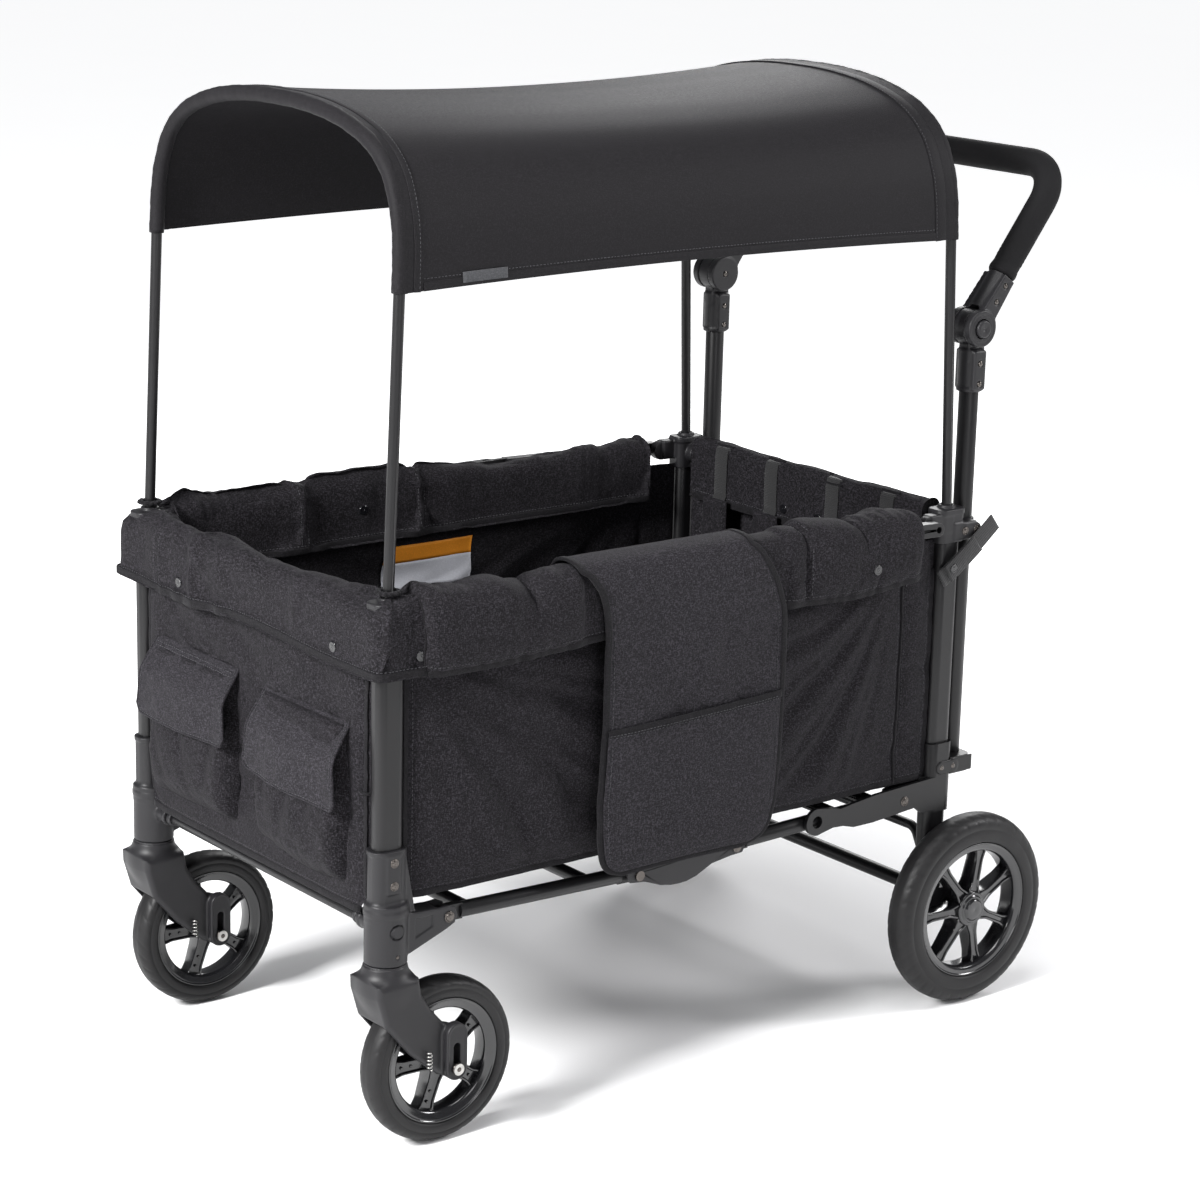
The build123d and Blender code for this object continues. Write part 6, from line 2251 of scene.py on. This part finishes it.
# ---------------------------------------------------------------------------
# webbing, harness and closure straps
# ---------------------------------------------------------------------------
def strap(path, normal, thick, step=2.5):
    """Vertices, faces and distance along the strap in metres, 25 mm wide."""
    p = resample(path, step)
    profile = round_rect(25.0, thick, thick * 0.4)
    v, f = sweep(p, profile, normals=normal)
    return v, f, np.repeat(np.arange(len(p)) * step / 1000.0, len(profile))


def strap_obj(name, parts):
    s = Soup()
    for v, f, _ in parts:
        s.add(v, f)
    ob = new_obj(name, np.concatenate(s.v), s.f, "webbing")
    run = np.concatenate([r for _, _, r in parts])
    ob.data.attributes.new("run", "FLOAT", "POINT").data.foreach_set(
        "value", np.asarray(run, np.float32))
    # a weld would lose the match between points and runs
    return fix_normals(ob, weld=False)


def harness_webbing():
    """Down the inner face of the rear rim, then behind the padded sleeves."""
    parts = []
    for x in HARNESS_X:
        p, _ = press(PAD_TREES["rear"], upright_line(x, 330.0, np.arange(656.0, 584.0, -4.0)),
                     (0, 1, 0), lift=1.3)
        low = [(x, min(p[-1][1], 362.5), 576.0), (x, 361.5, 560.0), (x, 361.5, 520.0),
               (x, 362.5, 474.0)]
        path = curve(np.concatenate([[[x, p[0][1] + 5.0, 659.0]], p[::2], low]), 3.0)
        parts.append(strap(path, (0, -1.0, 0.12), 1.8))
    place_folding(strap_obj("harness_webbing", parts), "webbing", "webbing_straps")


def bar(a, b, step, r):
    """A round bar between two points."""
    a, b = np.array(a, float), np.array(b, float)
    n = max(2, int(np.linalg.norm(b - a) / step) + 1)
    return sweep(a + (b - a) * np.linspace(0, 1, n)[:, None], circle(r, 8))


def harness_sleeves():
    """Padded sleeves, with a slide under each."""
    half, bottom, height = 25, 490, 100
    slide_y, slide_z = 360.2, 478.0
    pads, thread, slides = Soup(), Soup(), Soup()
    for x in HARNESS_X:
        a, b = np.meshgrid(np.linspace(-1, 1, 14), np.linspace(0, 1, 30), indexing="ij")
        k = (np.sqrt(np.clip(1 - np.abs(a) ** 4, 0, 1))
             * np.sqrt(np.clip(1 - np.abs(2 * b - 1) ** 8, 0, 1)))
        wave = noise_over(a * half, b * height + x, 0, 24.0, 91, 2)
        front = np.stack([x + a * half, 361.0 - 5.4 * k - wave * 0.8 * k, bottom + height * b], 2)
        back = np.stack([x + a * half, 362.0 + 0 * a, bottom + height * b], 2)
        pads.add(*double_sheet(front, back))
        for e in (-0.82, 0.82):
            row = upright_line(x + e * half, 357.0, np.arange(495, 586, 4.0))
            thread.add(*stitches(row, (0, -1, 0), gap=2.0))
        for z in (slide_z - 7.5, slide_z, slide_z + 7.5):
            slides.add(*bar((x - 15.5, slide_y, z), (x + 15.5, slide_y, z), 4.0, 1.9))
        for end in (x - 15.0, x + 15.0):
            slides.add(*bar((end, slide_y, slide_z - 9), (end, slide_y, slide_z + 9), 3.0, 2.1))
    ob = pads.obj("harness_pads", "heather")
    subdivide(ob)
    place_folding(ob, "heather_fabric", "webbing_straps")
    place_folding(thread.obj("harness_pad_stitches", "thread"), "heather_fabric")
    place_folding(slides.obj("harness_slides", "plastic_black"), "black_plastic")


def rear_rim_trim():
    tree = PAD_TREES["rear"]
    # slots where the straps come through: a piped lip above a thin near-black strip, the painted
    # shadow inside each slot
    lips, slot_shadow_strips = Soup(), Soup()
    for x in HARNESS_X:
        p, _ = press(tree, [(a, 330.0, 661.3) for a in np.arange(x - 18, x + 18.1, 3.0)],
                     (0, 1, 0), lift=0.6)
        lips.add(*sweep(p, circle(1.9, 8)))
        # near-black strip pressed onto the pad: painted shadow of the slot, not a hole
        p, n = press(tree, [(a, 330.0, 657.5) for a in np.arange(x - 15, x + 15.1, 3.0)],
                     (0, 1, 0), lift=0.3)
        slot_shadow_strips.add(*sweep(p, round_rect(2.6, 1.2, 0.5), normals=n))
    place(lips.obj("strap_slots", "binding"), "rear_frame", "heather_fabric")
    place(slot_shadow_strips.obj("strap_slot_painted_shadows", "dark"), "rear_frame", "heather_fabric")
    studs = Soup()
    for x in (-34.0, 34.0):
        p, _ = press(tree, [(x, 330.0, 600.0)], (0, 1, 0), lift=0.3)
        snap(studs, p[0], (0, -1, 0.1))
    place(studs.obj("rear_rim_snaps", "snap"), "rear_frame", "black_plastic")
    # bound edge, outside and inside
    binding, thread = Soup(), Soup()
    xs = np.arange(-231, 231.5, 5.0)
    for face in (1, -1):
        y = REAR_POST_Y + 55.0 * face
        bind(binding, tree, [(x, y, 583.0) for x in xs], (0, -face, 0), 9.0, 1.5)
        sew(thread, tree, [(x, y, 589.5) for x in xs], (0, -face, 0))
    place(binding.obj("rear_rim_binding", "binding"), "rear_frame", "heather_fabric")
    place(thread.obj("rear_rim_stitches", "thread"), "rear_frame", "heather_fabric")


def blank_label():
    """A plain label with a coloured band along its top, inside the right panel."""
    y, z = np.meshgrid(np.linspace(-116, 24, 30), np.linspace(500, 562, 14), indexing="ij")
    p, _ = press(PANEL_TREES["right"],
                 np.stack([np.full(y.size, -225.0), y.ravel(), z.ravel()], 1), (-1, 0, 0),
                 lift=1.4)
    pts = p.reshape(30, 14, 3)
    split = 9
    place_folding(solid_sheet("blank_label", pts[:, :split], 0.5, "label", (1, 0, 0)),
                  "heather_fabric")
    place_folding(solid_sheet("blank_label_band", pts[:, split - 1:] + np.array([0.05, 0, 0]),
                              0.5, "label_band", (1, 0, 0)), "heather_fabric")


def closure_straps():
    """From the side panel's rear edge up to the uprights, doubled over part of the way."""
    low, high = np.array([279.8, 362.0, 571.0]), np.array([280.6, 452.0, 636.5])
    for side, sx in SIDES:
        path = []
        for t in np.linspace(0, 1, 30):
            belly = math.sin(math.pi * t)
            path.append(low + (high - low) * t + np.array([1.2 * belly, 0, -1.6 * belly]))
        path = np.array(path)
        path[:, 0] *= sx
        parts = [strap(path, (sx, 0, 0), 2.0),
                 strap(path[3:20] + np.array([sx * 2.2, 0, 0]), (sx, 0, 0), 2.0)]
        place_folding(strap_obj(f"closure_strap_{side}", parts), "webbing", "webbing_straps")
        stud = Soup()
        snap(stud, np.array([sx * 283.8, 380.0, 584.5]), (sx, 0, 0), 6.0)
        place_folding(stud.obj(f"closure_snap_{side}", "snap"), "black_plastic")


harness_webbing()
harness_sleeves()
rear_rim_trim()
blank_label()
closure_straps()


# ---------------------------------------------------------------------------
# handle grip: foam sleeve with a rolled lip at each end
# ---------------------------------------------------------------------------
def grip_sleeve():
    reach, bend, step = 241.5, 55.0, 3.0
    # (x, distance from the hinge along the handle)
    plan = [(-UPRIGHT_X, 77.0), (-UPRIGHT_X, reach - bend)]
    for a in np.radians(np.linspace(0, 90, 14)[1:]):
        plan.append((-UPRIGHT_X + bend - bend * math.cos(a), reach - bend + bend * math.sin(a)))
    plan += [(-x, r) for x, r in plan[::-1]]
    path = resample(np.array([(x, *along_handle(r)) for x, r in plan]), step)
    run = np.arange(len(path)) * step
    end = np.minimum(run, run[-1] - run)
    size = (1.0 + 0.055 * np.exp(-((end - 6) / 5.0) ** 2) - 0.10 * np.exp(-end / 2.0)
            - 0.025 * np.exp(-((end - 16) / 5.0) ** 2))
    size = size + 0.008 * fbm(path, 26.0, 33, 2)
    size = size + 0.012 * np.sin(end * 1.1) * np.exp(-((end - 26) / 14.0) ** 2)
    s = Soup().add(*sweep(path, circle(17.8, 28), scale=size, up=(0, -HANDLE_SIN, HANDLE_COS)))
    place(s.obj("grip_sleeve", "foam"), "handle", "grip_foam", "handle_grip")


grip_sleeve()


# ---------------------------------------------------------------------------
# studio: pale floor, soft lights, camera (metres)
# ---------------------------------------------------------------------------
def studio_floor():
    """A flat grid just under the wheels that glows towards white away from the middle."""
    half, cells = 60.0, 40
    marks = [-half + 2 * half * i / cells for i in range(cells + 1)]
    bm = bmesh.new()
    rows = [[bm.verts.new((x, y, -0.0006)) for y in marks] for x in marks]
    for i in range(cells):
        for j in range(cells):
            bm.faces.new((rows[i][j], rows[i + 1][j], rows[i + 1][j + 1], rows[i][j + 1]))
    me = bpy.data.meshes.new("studio_floor")
    bm.to_mesh(me)
    bm.free()
    floor = bpy.data.objects.new("studio_floor", me)
    bpy.context.scene.collection.objects.link(floor)
    sh = Shader("studio_floor")
    colour = sh.mix(sh.noise(2.0), (0.90, 0.90, 0.905), (0.94, 0.94, 0.94))
    length = sh.node("ShaderNodeVectorMath", operation="LENGTH")
    sh.link(sh.obj, length.inputs[0])
    far = sh.ramp(sh.math("MULTIPLY", length.outputs["Value"], 0.2), (0.10, 0.0), (0.46, 1.0))
    sh.set(Base_Color=colour, Roughness=0.75, Specular_IOR_Level=0.2,
           Emission_Color=(1.0, 1.0, 1.0, 1.0), Emission_Strength=sh.math("MULTIPLY", far, 0.75))
    me.materials.append(sh.mat)


def studio_world():
    """Dim cool light on the wagon, plain white to the camera."""
    world = bpy.data.worlds.new("studio")
    bpy.context.scene.world = world
    world.use_nodes = True
    tree = world.node_tree
    light = tree.nodes["Background"]
    light_path = tree.nodes.new("ShaderNodeLightPath")
    mix = tree.nodes.new("ShaderNodeMixShader")
    backdrop = tree.nodes.new("ShaderNodeBackground")
    for node, colour, strength in ((light, (0.94, 0.96, 1.0, 1), 0.22),
                                   (backdrop, (1, 1, 1, 1), 1.0)):
        node.inputs["Color"].default_value = colour
        node.inputs["Strength"].default_value = strength
    tree.links.new(light_path.outputs["Is Camera Ray"], mix.inputs[0])
    tree.links.new(light.outputs[0], mix.inputs[1])
    tree.links.new(backdrop.outputs[0], mix.inputs[2])
    tree.links.new(mix.outputs[0], tree.nodes["World Output"].inputs[0])


def area_light(name, loc, target, size, energy, tint=(1, 1, 1)):
    """A rectangular light of size (x, y) aimed at a target."""
    light = bpy.data.lights.new(name, "AREA")
    light.shape = "RECTANGLE"
    light.size, light.size_y = size
    light.energy = energy
    light.color = tint
    ob = bpy.data.objects.new(name, light)
    bpy.context.scene.collection.objects.link(ob)
    ob.location = loc
    ob.rotation_mode = "QUATERNION"
    ob.rotation_quaternion = (Vector(target) - Vector(loc)).to_track_quat("-Z", "Y")


def studio_camera():
    location = Vector((3.0728148, -2.3847177 + SHIFT_Y / 1000, 1.5628158))
    view = Vector((-0.75953447, 0.59820026, -0.25546787)).normalized()
    roll = math.radians(1.4028)
    cam = bpy.data.cameras.new("camera")
    ob = bpy.data.objects.new("camera", cam)
    bpy.context.scene.collection.objects.link(ob)
    cam.sensor_width = 36.0
    cam.lens = 95.42
    cam.clip_start, cam.clip_end = 0.05, 60
    level_right = view.cross(Vector((0, 0, 1))).normalized()
    level_up = level_right.cross(view)
    right = level_right * math.cos(roll) + level_up * math.sin(roll)
    up = -level_right * math.sin(roll) + level_up * math.cos(roll)
    m = Matrix((right, up, -view)).transposed().to_4x4()
    m.translation = location
    ob.matrix_world = m
    bpy.context.scene.camera = ob


studio_floor()
studio_world()
area_light("key_front", loc=(0.45, -3.7, 2.6), target=(0, 0, 0.5), size=(0.9, 1.1), energy=350)
area_light("rake_right", loc=(2.0, 3.2, 2.3), target=(0.1, 0, 0.5), size=(0.8, 1.2), energy=92,
           tint=(1.0, 0.99, 1.0))
area_light("camera_fill", loc=(3.6, -0.9, 1.55), target=(-0.2, 0, 0.6), size=(1.0, 1.4),
           energy=24, tint=(0.99, 0.98, 1.0))
area_light("top_soft", loc=(0.6, -0.6, 3.8), target=(0, 0, 0.6), size=(1.8, 1.8), energy=72)
area_light("back_rim", loc=(-2.6, 3.0, 2.4), target=(0, 0, 0.7), size=(1.6, 1.6), energy=70)
studio_camera()
view_settings = bpy.context.scene.view_settings
view_settings.view_transform = "Standard"
view_settings.look = "None"
view_settings.exposure = 0.0
